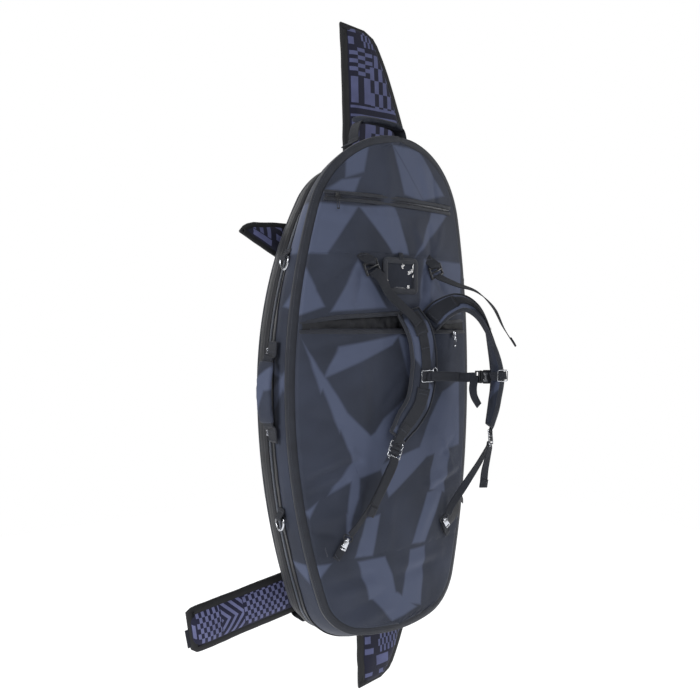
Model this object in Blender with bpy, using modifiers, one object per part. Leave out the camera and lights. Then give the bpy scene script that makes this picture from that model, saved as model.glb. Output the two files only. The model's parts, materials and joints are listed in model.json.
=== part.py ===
"""Board bag with a backpack harness on its front and three padded foil sleeves strapped behind it.

The bag is modelled with x to the right, y to the back and z up from the lowest point of its front
edge. The empty called bag_frame then moves it so that the point it hangs from is the origin.
"""
import math

import bmesh
import bpy
from mathutils import Matrix, Vector

# Driving dimensions, in metres.
HEIGHT = 1.05
HALF_WIDTH = 0.247
WAIST_Z = 0.52
FRONT_Y = -0.12
CROWN_RADIUS = 0.69
BACK_Y = 0.052
BINDING_WIDTH = 0.018
GUSSET_THICKNESS = 0.004
GUSSET_BULGE = 0.008
PANEL_THICKNESS = 0.006
CLEARANCE = 0.0012
WEBBING_WIDTH = 0.025
NARROW_WEBBING = 0.020
WEBBING_THICKNESS = 0.0018
PAD_WIDTH = 0.066
PAD_THICKNESS = 0.012
SLEEVE_THICKNESS = 0.028
HANDLE_RADIUS = 0.009
HANG_POINT = Vector((0.0, -0.05, 1.088))
HINGE_X = 0.25
HINGE_STRETCH = (0.27, 0.76)
HARNESS_AXIS = Vector((0.06, -0.128, 0.770))
POCKET_MOUTH_Z = 0.642
POCKET_BASE_Z = 0.186
POCKET_GAPE = 0.015
TOP_POCKET_ZIP_Z = 0.912
LID_ZIP_Y = -0.012
BACK_ZIP_Y = 0.0105
GUSSET_SET_BACK = 0.0085
ZIP_TAPE_THICKNESS = 0.0024
SEAM_LIFT = 0.0025

OUT_FRONT = Vector((0, -1, 0))
OUT_BACK = Vector((0, 1, 0))
UP = Vector((0, 0, 1))

FINISHES = {
    "shell_cloth": ((0.055, 0.065, 0.092), 0.72, 0.0),
    "binding_tape": ((0.028, 0.033, 0.042), 0.80, 0.0),
    "webbing": ((0.011, 0.012, 0.015), 0.75, 0.0),
    "black_plastic": ((0.009, 0.009, 0.011), 0.38, 0.0),
    "bright_metal": ((0.62, 0.63, 0.66), 0.24, 1.0),
    "zip_tape": ((0.010, 0.010, 0.013), 0.70, 0.0),
    "lining_foam": ((0.16, 0.17, 0.19), 0.85, 0.0),
    "clear_vinyl": ((0.35, 0.38, 0.42), 0.12, 0.0),
    "pattern_cloth": ((0.070, 0.066, 0.150), 0.78, 0.0),
}


class EdgeCurve:
    """A closed outline of tangent arcs, widest at the waist and symmetric about x = 0."""

    def __init__(self, apex, base, upper_radius, lower_radius, corner_radius, base_radius):
        self.apex = apex
        self.upper_radius = upper_radius
        self.lower_radius = lower_radius
        self.corner_radius = corner_radius
        self.base_radius = base_radius
        self.upper_x = HALF_WIDTH - upper_radius
        self.lower_x = HALF_WIDTH - lower_radius
        rise = apex - WAIST_Z
        spread = upper_radius ** 2 - rise ** 2 - self.upper_x ** 2
        self.top_radius = spread / (2 * (upper_radius - rise))
        self.top_z = apex - self.top_radius
        self.base_z = base + base_radius
        self.corner_x, self.corner_z = self.corner_centre()
        self.top_angle = math.atan2(self.top_z - WAIST_Z, -self.upper_x)
        self.side_angle = math.atan2(self.corner_z - WAIST_Z, self.corner_x - self.lower_x)
        self.base_angle = math.atan2(self.corner_z - self.base_z, self.corner_x)

    def corner_centre(self):
        """Centre of the corner arc, tangent inside the lower side arc and the base arc."""
        side = Vector((self.lower_x, WAIST_Z))
        base = Vector((0.0, self.base_z))
        side_reach = self.lower_radius - self.corner_radius
        base_reach = self.base_radius - self.corner_radius
        line = base - side
        span = line.length
        along = (side_reach ** 2 - base_reach ** 2 + span ** 2) / (2 * span)
        off = math.sqrt(side_reach ** 2 - along ** 2)
        unit = line / span
        centre = side + unit * along + Vector((unit.y, -unit.x)) * off
        return centre.x, centre.y

    def arcs(self):
        """Each arc as centre x, centre z, radius, first and last angle and number of steps."""
        return (
            (0.0, self.top_z, self.top_radius, math.pi / 2, self.top_angle, 8),
            (self.upper_x, WAIST_Z, self.upper_radius, self.top_angle, 0.0, 7),
            (self.lower_x, WAIST_Z, self.lower_radius, 0.0, self.side_angle, 6),
            (self.corner_x, self.corner_z, self.corner_radius, self.side_angle, self.base_angle, 5),
            (0.0, self.base_z, self.base_radius, self.base_angle, -math.pi / 2, 3),
        )

    def points(self, grow=0.0):
        """The whole outline from its apex, down the right side and up the left, moved out by grow."""
        right = []
        for centre_x, centre_z, radius, first, last, steps in self.arcs():
            for step in range(steps):
                angle = first + (last - first) * step / steps
                right.append(Vector((centre_x + (radius + grow) * math.cos(angle),
                                     centre_z + (radius + grow) * math.sin(angle))))
        right.append(Vector((0.0, self.base_z - self.base_radius - grow)))
        left = [Vector((-point.x, point.y)) for point in reversed(right[1:-1])]
        return right + left

    def half_width(self, z, grow=0.0):
        """Half of the outline's width at height z."""
        for centre_x, centre_z, radius, first, last, _ in self.arcs():
            reach = radius + grow
            if z >= centre_z + reach * math.sin(last) - 1e-9:
                return centre_x + math.sqrt(max(reach ** 2 - (z - centre_z) ** 2, 0.0))
        return 0.0


FRONT_EDGE = EdgeCurve(HEIGHT, 0.0, 1.5, 1.5, 0.11, 0.5)
ZIP_EDGE = EdgeCurve(HEIGHT - 0.03, -0.03, 0.9, 1.5, 0.11, 0.5)


def front_y(x):
    """The front is bowed like part of an upright cylinder."""
    return FRONT_Y + CROWN_RADIUS - math.sqrt(CROWN_RADIUS ** 2 - x ** 2)


def gusset_point(side, z, share):
    """Point on the outside of the front gusset; share runs from 0 at the front edge to 1 at the zip."""
    wide = FRONT_EDGE.half_width(z)
    x = wide + (ZIP_EDGE.half_width(z) - wide) * share + GUSSET_BULGE * math.sin(math.pi * share)
    edge_y = front_y(wide) + GUSSET_SET_BACK - 0.001
    return Vector((side * x, edge_y + (LID_ZIP_Y - edge_y) * share, z))


# Scene, finishes and pivots.

def clear_scene():
    for thing in list(bpy.data.objects):
        bpy.data.objects.remove(thing, do_unlink=True)


def make_finish(name):
    colour, roughness, metallic = FINISHES[name]
    finish = bpy.data.materials.new(name)
    finish.use_nodes = True
    shader = finish.node_tree.nodes["Principled BSDF"]
    shader.inputs["Base Color"].default_value = (*colour, 1.0)
    shader.inputs["Roughness"].default_value = roughness
    shader.inputs["Metallic"].default_value = metallic
    finish.diffuse_color = (*colour, 1.0)
    return finish


clear_scene()
PARTS = bpy.data.collections.new("board_bag")
bpy.context.scene.collection.children.link(PARTS)
MATERIALS = {name: make_finish(name) for name in FINISHES}
PIVOT_AT = {}


def add_pivot(name, at, parent=None):
    """An empty at a point of the bag; everything that turns or slides there is its child."""
    pivot = bpy.data.objects.new(name, None)
    pivot.empty_display_size = 0.03
    PARTS.objects.link(pivot)
    PIVOT_AT[name] = Vector(at)
    pivot.location = Vector(at)
    if parent:
        pivot.parent = parent
        pivot.location = Vector(at) - PIVOT_AT[parent.name]
    return pivot


def add_part(part, finish, pivot, at=None, turn=None):
    """Links a part below its pivot. Points are given in the bag's frame."""
    part.data.materials.append(MATERIALS[finish])
    PARTS.objects.link(part)
    part.parent = pivot
    place = Vector((0, 0, 0)) if at is None else Vector(at)
    placing = Matrix.Translation(place - PIVOT_AT[pivot.name])
    if turn is not None:
        placing = placing @ turn.to_4x4()
    part.matrix_local = placing
    return part


# Ways of making the soft and hard pieces.

def sheet(name, rows, thickness, finish, pivot, closed=False):
    """A shell of even thickness about rows of points; closed joins the last row to the first."""
    mesh = bpy.data.meshes.new(name)
    form = bmesh.new()
    grid = [[form.verts.new(point) for point in row] for row in rows]
    last = len(grid) if closed else len(grid) - 1
    for i in range(last):
        here = grid[i]
        there = grid[(i + 1) % len(grid)]
        for j in range(len(here) - 1):
            form.faces.new((here[j], there[j], there[j + 1], here[j + 1]))
    for face in form.faces:
        face.smooth = True
    form.to_mesh(mesh)
    form.free()
    part = bpy.data.objects.new(name, mesh)
    shell = part.modifiers.new("thickness", "SOLIDIFY")
    shell.thickness = thickness
    shell.offset = 0.0
    shell.use_even_offset = True
    return add_part(part, finish, pivot)


def flat_curve(name, loops, thickness):
    """A flat plate in its own x-y plane; loops after the first are holes."""
    curve = bpy.data.curves.new(name, "CURVE")
    curve.dimensions = "2D"
    curve.fill_mode = "BOTH"
    curve.extrude = thickness / 2
    for loop in loops:
        spline = curve.splines.new("POLY")
        spline.points.add(len(loop) - 1)
        for knot, (x, y) in zip(spline.points, loop):
            knot.co = (x, y, 0.0, 1.0)
        spline.use_cyclic_u = True
    return bpy.data.objects.new(name, curve)


def plate(name, loops, thickness, at, out, up, finish, pivot):
    """A flat plate placed at a point, facing out and with its own y axis along up."""
    out = Vector(out).normalized()
    across = Vector(up).cross(out).normalized()
    along = out.cross(across)
    turn = Matrix((across, along, out)).transposed()
    return add_part(flat_curve(name, loops, thickness), finish, pivot, at, turn)


def tube(name, points, radius, finish, pivot, closed=False):
    """A round bar along points."""
    curve = bpy.data.curves.new(name, "CURVE")
    curve.dimensions = "3D"
    curve.bevel_depth = radius
    curve.bevel_resolution = 2
    curve.use_fill_caps = True
    spline = curve.splines.new("POLY")
    spline.points.add(len(points) - 1)
    for knot, point in zip(spline.points, points):
        knot.co = (*point, 1.0)
    spline.use_cyclic_u = closed
    return add_part(bpy.data.objects.new(name, curve), finish, pivot)


def smooth_path(points, steps=3):
    """A smooth curve through points, as a list with a few steps between each two of them."""
    knots = [Vector(point) for point in points]
    knots = [knots[0] * 2 - knots[1]] + knots + [knots[-1] * 2 - knots[-2]]
    path = []
    for before, start, end, after in zip(knots, knots[1:], knots[2:], knots[3:]):
        for step in range(steps):
            t = step / steps
            path.append(0.5 * (2 * start + (end - before) * t
                               + (2 * before - 5 * start + 4 * end - after) * t ** 2
                               + (3 * start - before - 3 * end + after) * t ** 3))
    path.append(knots[-2])
    return path


def ribbon(name, points, width, thickness, out, finish, pivot, steps=3):
    """A flat band along a smooth path. out is the way its face looks, or one such way per point."""
    path = smooth_path(points, steps)
    if isinstance(out, Vector):
        outs = [out] * len(path)
    else:
        outs = smooth_path(out, steps)
    rows = []
    for i, point in enumerate(path):
        heading = path[min(i + 1, len(path) - 1)] - path[max(i - 1, 0)]
        across = heading.cross(outs[i]).normalized() * (width / 2)
        rows.append([point - across, point + across])
    return sheet(name, rows, thickness, finish, pivot)


def rectangle(width, height, corner=0.0015, centre=(0.0, 0.0)):
    """A rectangle with cut corners."""
    x = width / 2
    y = height / 2
    c = min(corner, x / 2, y / 2)
    loop = [(x - c, y), (x, y - c), (x, c - y), (x - c, -y),
            (c - x, -y), (-x, c - y), (-x, y - c), (c - x, y)]
    return [(px + centre[0], py + centre[1]) for px, py in loop]


# The bag's shell.

def edge_band(name, near, far, near_y, far_y, bulge, thickness, spans, finish, pivot, skip=None):
    """A wall that runs round the bag between two outlines; skip leaves out a stretch on the right."""
    rows = []
    inset = -thickness / 2
    for first, last in zip(near.points(inset), far.points(inset)):
        start_y = near_y(first.x)
        row = []
        for step in range(spans + 1):
            t = step / spans
            flat = first.lerp(last, t)
            outward = Vector((flat.x, 0.45 * (flat.y - WAIST_Z))).normalized()
            flat += outward * (bulge * math.sin(math.pi * t))
            row.append(Vector((flat.x, start_y + (far_y - start_y) * t, flat.y)))
        rows.append(row)
    if skip is None:
        return sheet(name, rows, thickness, finish, pivot, closed=True)
    low, high = skip
    kept = [i for i, row in enumerate(rows) if not (row[0].x > 0 and low < row[0].z < high)]
    first_after = next(i for i, k in enumerate(kept) if i and k - kept[i - 1] > 1)
    order = kept[first_after:] + kept[:first_after]
    return sheet(name, [rows[i] for i in order], thickness, finish, pivot)


def edge_binding(name, edge, face_y, inner, outer, depth, finish, pivot):
    """A folded tape round an edge: a closed ring with a blunt rectangular section."""
    cut = 0.0015
    section = [(inner, 0.0), (outer - cut, 0.0), (outer, cut), (outer, depth - cut),
               (outer - cut, depth), (inner, depth)]
    loops = [edge.points(grow) for grow, _ in section]
    mesh = bpy.data.meshes.new(name)
    form = bmesh.new()
    grid = []
    for i in range(len(loops[0])):
        ring = []
        for loop, (_, back) in zip(loops, section):
            ring.append(form.verts.new((loop[i].x, face_y(loop[i].x) + back, loop[i].y)))
        grid.append(ring)
    for i, here in enumerate(grid):
        there = grid[(i + 1) % len(grid)]
        for j in range(len(section)):
            k = (j + 1) % len(section)
            form.faces.new((here[j], here[k], there[k], there[j]))
    bmesh.ops.recalc_face_normals(form, faces=form.faces)
    form.to_mesh(mesh)
    form.free()
    return add_part(bpy.data.objects.new(name, mesh), finish, pivot)


def front_sheet(name, low, high, stand_off, thickness, grow, rows, columns, finish, pivot, ease=False):
    """A sheet that follows the bowed front between two heights; stand_off(u, v) lifts it forward."""
    lines = []
    for i in range(rows + 1):
        v = i / rows
        if ease:
            v = 0.5 - 0.5 * math.cos(math.pi * v)
        z = low + (high - low) * v
        wide = FRONT_EDGE.half_width(z, grow)
        line = []
        for j in range(columns + 1):
            u = 2 * j / columns - 1
            x = wide * u
            line.append(Vector((x, front_y(x) - stand_off(u, v), z)))
        lines.append(line)
    return sheet(name, lines, thickness, finish, pivot)


def build_back(bag):
    """Tray, stiffener panel, bindings and zip half that stay with the bag's back."""
    edge_band("back_gusset", ZIP_EDGE, ZIP_EDGE, lambda x: BACK_ZIP_Y, BACK_Y - 0.0075, 0.003,
              GUSSET_THICKNESS, 2, "shell_cloth", bag)
    edge_band("main_zip_back_tape", ZIP_EDGE, ZIP_EDGE, lambda x: 0.0008, BACK_ZIP_Y - 0.001, 0.0,
              ZIP_TAPE_THICKNESS, 1, "zip_tape", bag, skip=HINGE_STRETCH)
    edge_binding("back_binding", ZIP_EDGE, lambda x: BACK_Y - 0.0065, -0.0115, 0.0, 0.008,
                 "binding_tape", bag)
    panel = flat_curve("back_panel", [[(p.x, p.y) for p in ZIP_EDGE.points(-0.0125)]], PANEL_THICKNESS)
    upright = Matrix.Rotation(math.radians(90), 3, "X")
    add_part(panel, "shell_cloth", bag, (0, BACK_Y - PANEL_THICKNESS / 2, 0), upright)
    foam = flat_curve("back_foam", [[(p.x, p.y) for p in ZIP_EDGE.points(-0.016)]], 0.005)
    add_part(foam, "lining_foam", bag, (0, BACK_Y - PANEL_THICKNESS - 0.0031, 0), upright)


def build_lid_shell(lid):
    """Bowed front panel, gusset, binding and the front half of the main zip."""
    edge_band("front_gusset", FRONT_EDGE, ZIP_EDGE, lambda x: front_y(x) + GUSSET_SET_BACK, LID_ZIP_Y,
              GUSSET_BULGE, GUSSET_THICKNESS, 3, "shell_cloth", lid)
    edge_band("main_zip_front_tape", ZIP_EDGE, ZIP_EDGE, lambda x: LID_ZIP_Y + 0.002, -0.0008, 0.0,
              ZIP_TAPE_THICKNESS, 1, "zip_tape", lid, skip=HINGE_STRETCH)
    edge_binding("front_binding", FRONT_EDGE, lambda x: front_y(x) - 0.002, 0.0005 - BINDING_WIDTH,
                 0.001, 0.0085, "binding_tape", lid)
    inset = -BINDING_WIDTH - CLEARANCE
    front_sheet("front_panel", BINDING_WIDTH + 0.002, HEIGHT - BINDING_WIDTH - 0.002,
                lambda u, v: -PANEL_THICKNESS / 2, PANEL_THICKNESS, inset, 22, 12,
                "shell_cloth", lid, ease=True)


def pocket_stand_off(u, v):
    """The harness pocket lies flat at its base and sides and gapes along its mouth."""
    return SEAM_LIFT + POCKET_GAPE * v ** 1.5 * (1 - abs(u) ** 6)


def build_front_pockets(lid):
    """The pockets, their zips and the card window on the bowed front."""
    inset = -BINDING_WIDTH - 0.0015
    front_sheet("harness_pocket", POCKET_BASE_Z, POCKET_MOUTH_Z, pocket_stand_off, 0.003, inset, 8, 12,
                "shell_cloth", lid)
    front_sheet("yoke_panel", 0.668, 0.797,
                lambda u, v: SEAM_LIFT + 0.005 * (1 - v) ** 3 * (1 - u ** 4), 0.002, inset, 5, 12,
                "shell_cloth", lid)
    front_sheet("top_pocket", 0.803, TOP_POCKET_ZIP_Z - 0.008,
                lambda u, v: SEAM_LIFT + 0.005 * math.sin(math.pi * v) * (1 - u ** 4), 0.002, inset, 4, 12,
                "shell_cloth", lid)
    rows = []
    for height in (TOP_POCKET_ZIP_Z - 0.0065, TOP_POCKET_ZIP_Z + 0.0065):
        line = []
        for k in range(-6, 7):
            x = 0.155 * k / 6
            line.append(Vector((x, front_y(x) - SEAM_LIFT, height)))
        rows.append(line)
    sheet("top_zip_tape", rows, 0.0016, "zip_tape", lid)
    rows = []
    for height in (POCKET_MOUTH_Z - 0.016, POCKET_MOUTH_Z - 0.003):
        v = (height - POCKET_BASE_Z) / (POCKET_MOUTH_Z - POCKET_BASE_Z)
        wide = FRONT_EDGE.half_width(height, inset)
        line = []
        for k in range(13):
            x = 0.19 * (k / 6 - 1)
            line.append(Vector((x, front_y(x) - pocket_stand_off(x / wide, v) - 0.0030, height)))
        rows.append(line)
    sheet("pocket_zip_tape", rows, 0.0014, "zip_tape", lid)
    frame_outer = rectangle(0.094, 0.076, 0.006)
    frame_inner = rectangle(0.072, 0.056, 0.004)
    window_at = Vector((0.0, FRONT_Y - 0.0075, 0.757))
    plate("card_window_frame", [frame_outer, frame_inner], 0.0024, window_at, OUT_FRONT, UP,
          "binding_tape", lid)
    plate("card_window_vinyl", [rectangle(0.070, 0.054, 0.004)], 0.001, window_at, OUT_FRONT, UP,
          "clear_vinyl", lid)


def slider(name, at, out, up, pivot, finish="bright_metal"):
    """A zip slider and its pull as one flat piece: a wide body and a long narrow tab below it."""
    loop = [(-0.0045, 0.006), (0.0045, 0.006), (0.0052, -0.004), (0.0022, -0.006),
            (0.0030, -0.0075), (0.0030, -0.026), (0.0015, -0.028), (-0.0015, -0.028),
            (-0.0030, -0.026), (-0.0030, -0.0075), (-0.0022, -0.006), (-0.0052, -0.004)]
    plate(name, [loop], 0.0032, at, out, up, finish, pivot)


def build_zip_sliders(bag, lid):
    """Each slider turns about the centre of the arc that its zip follows."""
    crown_centre = Vector((0.0, FRONT_Y + CROWN_RADIUS, TOP_POCKET_ZIP_Z))
    start_x = -0.150
    pivot = add_pivot("top_zip_axis", crown_centre, lid)
    at = Vector((start_x, front_y(start_x) - 0.0095, TOP_POCKET_ZIP_Z))
    out = Vector((start_x, at.y - crown_centre.y, 0))
    slider("top_zip_slider", at, out, UP, pivot, "black_plastic")

    park_x = 0.155
    depth = pocket_stand_off(0.0, 1.0) - pocket_stand_off(park_x / 0.225, 1.0)
    sag = front_y(park_x) - FRONT_Y + depth
    mouth_radius = (park_x ** 2 + sag ** 2) / (2 * sag)
    mouth_y = FRONT_Y - pocket_stand_off(0.0, 1.0) + mouth_radius
    mouth_z = POCKET_MOUTH_Z - 0.009
    pivot = add_pivot("pocket_zip_axis", (0.0, mouth_y, mouth_z), lid)
    out = Vector((park_x, -math.sqrt(mouth_radius ** 2 - park_x ** 2), 0)).normalized()
    at = Vector((0.0, mouth_y, mouth_z)) + out * (mouth_radius + 0.0075)
    slider("pocket_zip_slider", at, out, UP, pivot)

    for name, radius, start_z, way in (("upper", ZIP_EDGE.upper_radius, 0.60, 1),
                                       ("lower", ZIP_EDGE.lower_radius, 0.43, -1)):
        centre = Vector((radius - HALF_WIDTH, 0.0, WAIST_Z))
        rise = start_z - WAIST_Z
        out = Vector((-math.sqrt(radius ** 2 - rise ** 2), 0, rise)).normalized()
        pivot = add_pivot(f"main_zip_{name}_axis", centre, bag)
        along = Vector((0, 1, 0)).cross(out) * way
        slider(f"main_zip_slider_{name}", centre + out * (radius + 0.0035), out, along, pivot)


def build_handles(lid):
    """A short carrying handle on the nose and a longer one on the left gusset."""
    foot_z = 1.036
    pivot = add_pivot("top_handle_axis", (0.0, HANG_POINT.y, foot_z + 0.004), lid)
    grip_z = HANG_POINT.z + HANDLE_RADIUS
    arch = [(-0.066, -0.05, foot_z + 0.006), (-0.064, -0.05, 1.070), (-0.052, -0.05, grip_z - 0.004),
            (-0.030, -0.05, grip_z), (0.030, -0.05, grip_z), (0.052, -0.05, grip_z - 0.004),
            (0.064, -0.05, 1.070), (0.066, -0.05, foot_z + 0.006)]
    tube("top_handle", arch, HANDLE_RADIUS, "shell_cloth", pivot)
    low = gusset_point(-1, 0.454, 0.5)
    high = gusset_point(-1, 0.583, 0.5)
    out = 0.0155
    pivot = add_pivot("side_handle_axis", (low.x - 0.010, low.y, WAIST_Z), lid)
    arch = [(high.x - 0.0135, high.y, high.z + 0.004), (high.x - out - 0.004, high.y, 0.560),
            (high.x - out - 0.009, high.y, WAIST_Z), (low.x - out - 0.004, low.y, 0.478),
            (low.x - 0.0135, low.y, low.z - 0.004)]
    tube("side_handle", arch, HANDLE_RADIUS, "shell_cloth", pivot)


def build_rings(lid):
    """Four D rings, each on a tab sewn to the gusset."""
    for side_name, side in (("left", -1), ("right", 1)):
        for height_name, z in (("upper", 0.795), ("lower", 0.268)):
            spot = gusset_point(side, z, 0.62)
            slope = (gusset_point(side, z + 0.01, 0.62) - gusset_point(side, z - 0.01, 0.62)).normalized()
            out = Vector((0, side, 0)).cross(slope)
            out = out if out.x * side > 0 else -out
            label = f"{side_name}_{height_name}"
            plate(f"ring_tab_{label}", [rectangle(0.024, 0.022)], 0.003, spot + out * 0.0042,
                  out, slope, "webbing", lid)
            bar = spot + out * 0.0092 - slope * 0.008
            pivot = add_pivot(f"ring_axis_{label}", bar, lid)
            points = [bar + Vector((0, -0.0155, 0)), bar + Vector((0, 0.0155, 0))]
            for step in range(1, 10):
                angle = math.pi * step / 10
                points.append(bar + Vector((0, 0.0155 * math.cos(angle),
                                            -0.005 - 0.019 * math.sin(angle))))
            tube(f"d_ring_{label}", points, 0.0022, "bright_metal", pivot, closed=True)


# The harness on the front.

LEFT_PAD = [(0.020, -0.1370, 0.672), (0.027, -0.156, 0.643), (0.036, -0.160, 0.600), (0.038, -0.159, 0.554),
            (0.026, -0.156, 0.491), (-0.008, -0.151, 0.443), (-0.024, -0.148, 0.421)]
RIGHT_PAD = [(0.082, -0.138, 0.674), (0.112, -0.154, 0.697), (0.142, -0.172, 0.702), (0.172, -0.190, 0.676),
             (0.196, -0.200, 0.617), (0.214, -0.202, 0.545), (0.212, -0.196, 0.482), (0.205, -0.189, 0.432)]
RIGHT_PAD_OUT = [(0.05, -1, 0.35), (-0.10, -1, 0.5), (-0.1, -0.75, 0.8), (0.45, -0.55, 0.7),
                 (0.85, -0.50, 0.35), (0.90, -0.50, 0.05), (0.88, -0.52, -0.15), (0.85, -0.55, -0.20)]


def ladder_lock(name, at, out, up, pivot, finish="black_plastic", width=WEBBING_WIDTH):
    """A frame with two slots for the webbing to thread through."""
    outer = rectangle(width + 0.009, 0.026, 0.003)
    slots = [rectangle(width + 0.002, 0.006, 0.001, (0, dy)) for dy in (-0.0065, 0.0055)]
    plate(name, [outer] + slots, 0.003, at, out, up, finish, pivot)


def build_harness(lid):
    """Shoulder pads, lifters, load straps and hooks, all lifted together from the pocket's mouth."""
    harness = add_pivot("harness_axis", HARNESS_AXIS, lid)
    ribbon("shoulder_pad_left", LEFT_PAD, PAD_WIDTH, PAD_THICKNESS, OUT_FRONT, "shell_cloth", harness, 2)
    right_outs = [Vector(way).normalized() for way in RIGHT_PAD_OUT]
    ribbon("shoulder_pad_right", RIGHT_PAD, PAD_WIDTH, PAD_THICKNESS, right_outs, "shell_cloth", harness, 2)

    for name, side in (("left", -1), ("right", 1)):
        x = side * 0.088
        y = front_y(x)
        lean = Vector((0.45, 0, -1))
        ladder_lock(f"lifter_lock_{name}", (x + 0.012, y - 0.0125, 0.772), OUT_FRONT, -lean, lid)
    ribbon("lifter_strap_left", [(-0.062, -0.1325, 0.755), (-0.040, -0.136, 0.722), (-0.016, -0.147, 0.694)],
           WEBBING_WIDTH, WEBBING_THICKNESS, OUT_FRONT, "webbing", lid, 3)
    ribbon("lifter_strap_right", [(0.114, -0.129, 0.755), (0.130, -0.158, 0.740), (0.160, -0.190, 0.722),
                                  (0.188, -0.212, 0.688), (0.212, -0.220, 0.645), (0.243, -0.224, 0.610)],
           NARROW_WEBBING, WEBBING_THICKNESS,
           [Vector(way).normalized() for way in ((0.1, -1, 0.3), (0, -0.8, 0.7), (0.2, -0.5, 0.9),
                                                (0.6, -0.4, 0.7), (0.7, -0.6, 0.4), (0.6, -0.7, 0.5))],
           "webbing", harness, 2)

    load_left = [(-0.050, -0.1580, 0.352), (-0.041, -0.1600, 0.370), (-0.0355, -0.1575, 0.3765),
                 (-0.0365, -0.1505, 0.3720), (-0.050, -0.1440, 0.340), (-0.080, -0.1370, 0.290),
                 (-0.112, -0.1310, 0.246), (-0.130, -0.1275, 0.228)]
    tail_left = [(-0.101, -0.1550, 0.268), (-0.078, -0.1570, 0.310)]
    ribbon("load_strap_left", tail_left + load_left, NARROW_WEBBING, WEBBING_THICKNESS,
           strap_outs(tail_left + load_left, 5), "webbing", harness, 3)
    load_right = [(0.196, -0.1960, 0.372), (0.203, -0.1950, 0.3855), (0.2055, -0.1905, 0.3880),
                  (0.203, -0.1860, 0.3820), (0.190, -0.1740, 0.350), (0.172, -0.1500, 0.300),
                  (0.148, -0.1300, 0.250), (0.139, -0.1260, 0.229)]
    tail_right = [(0.178, -0.1960, 0.298), (0.184, -0.1970, 0.336)]
    ribbon("load_strap_right", tail_right + load_right, NARROW_WEBBING, WEBBING_THICKNESS,
           strap_outs(tail_right + load_right, 5), "webbing", harness, 3)
    ladder_lock("load_lock_left", (-0.0345, -0.1545, 0.3950), (0, -1, 0.10), (0.45, 0, 1), harness,
                "bright_metal", NARROW_WEBBING)
    ladder_lock("load_lock_right", (0.2045, -0.1925, 0.4060), (0.85, -0.50, 0.10), (0.1, 0, 1), harness,
                "bright_metal", NARROW_WEBBING)
    for name, side in (("left", -1), ("right", 1)):
        x = side * 0.138
        y = front_y(x)
        hook = [(-0.013, 0.010), (0.013, 0.010), (0.013, -0.012), (-0.009, -0.012), (-0.009, -0.008),
                (0.009, -0.008), (0.009, -0.004), (-0.013, -0.004)]
        slope = Vector((side * 0.6, 0, -1))
        plate(f"strap_hook_{name}", [hook], 0.0024, (x, y - 0.0150, 0.210), OUT_FRONT, -slope,
              "bright_metal", harness)
        ribbon(f"hook_loop_{name}", [(x - side * 0.004, y - 0.0095, 0.214), (x + side * 0.006, y - 0.0080, 0.192)],
               WEBBING_WIDTH, 0.0030, OUT_FRONT, "webbing", lid, 2)
    build_sternum(harness)


def strap_outs(points, turn_at):
    """Facing of a strap that hangs as a tail, folds over its lock and comes back down behind."""
    outs = []
    for i in range(len(points)):
        if i < turn_at - 1:
            outs.append(Vector((0.0, -1.0, 0.0)))
        elif i == turn_at - 1:
            outs.append(Vector((0.2, 0.0, 1.0)))
        else:
            outs.append(Vector((0.0, 1.0, 0.0)))
    return outs


def buckle(prefix, at, out, slide_way, pivot, width=NARROW_WEBBING):
    """A side-release buckle: the socket stays, the plug pulls out along slide_way."""
    half = width / 2
    socket = [(-0.013, half + 0.005), (0.012, half + 0.005), (0.012, half + 0.001), (-0.007, half + 0.001),
              (-0.007, -half - 0.001), (0.012, -half - 0.001), (0.012, -half - 0.005), (-0.013, -half - 0.005)]
    plug = [(0.013, half + 0.004), (0.025, half + 0.004), (0.025, -half - 0.004), (0.013, -half - 0.004),
            (0.013, -half), (-0.005, -half), (-0.005, -half + 0.004), (0.011, -half + 0.004),
            (0.011, -0.0025), (-0.0055, -0.0025), (-0.0055, 0.0025), (0.011, 0.0025),
            (0.011, half - 0.004), (-0.005, half - 0.004), (-0.005, half), (0.013, half)]
    up = Vector(out).cross(Vector(slide_way))
    plate(f"{prefix}_socket", [socket], 0.0075, at, out, up, "black_plastic", pivot)
    plug_pivot = add_pivot(f"{prefix}_plug_slide", at, pivot)
    plate(f"{prefix}_plug", [plug], 0.0060, at, out, up, "black_plastic", plug_pivot)


def build_sternum(harness):
    """Chest strap between the pads, with one adjuster on each pad."""
    way = Vector((-0.98, 0.20, 0.02)).normalized()
    buckle("sternum", Vector((0.178, -0.2000, 0.541)), Vector((-0.20, -0.98, 0)), way, harness)
    ribbon("sternum_strap", [(0.064, -0.1700, 0.545), (0.105, -0.1740, 0.543), (0.150, -0.1860, 0.541),
                             (0.182, -0.1920, 0.540)],
           NARROW_WEBBING, WEBBING_THICKNESS, Vector((-0.2, -0.98, 0)), "webbing", harness, 2)
    ladder_lock("sternum_adjuster_left", (0.040, -0.1685, 0.546), OUT_FRONT, UP, harness,
                "bright_metal", WEBBING_WIDTH)


# The sleeves behind the bag.

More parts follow.
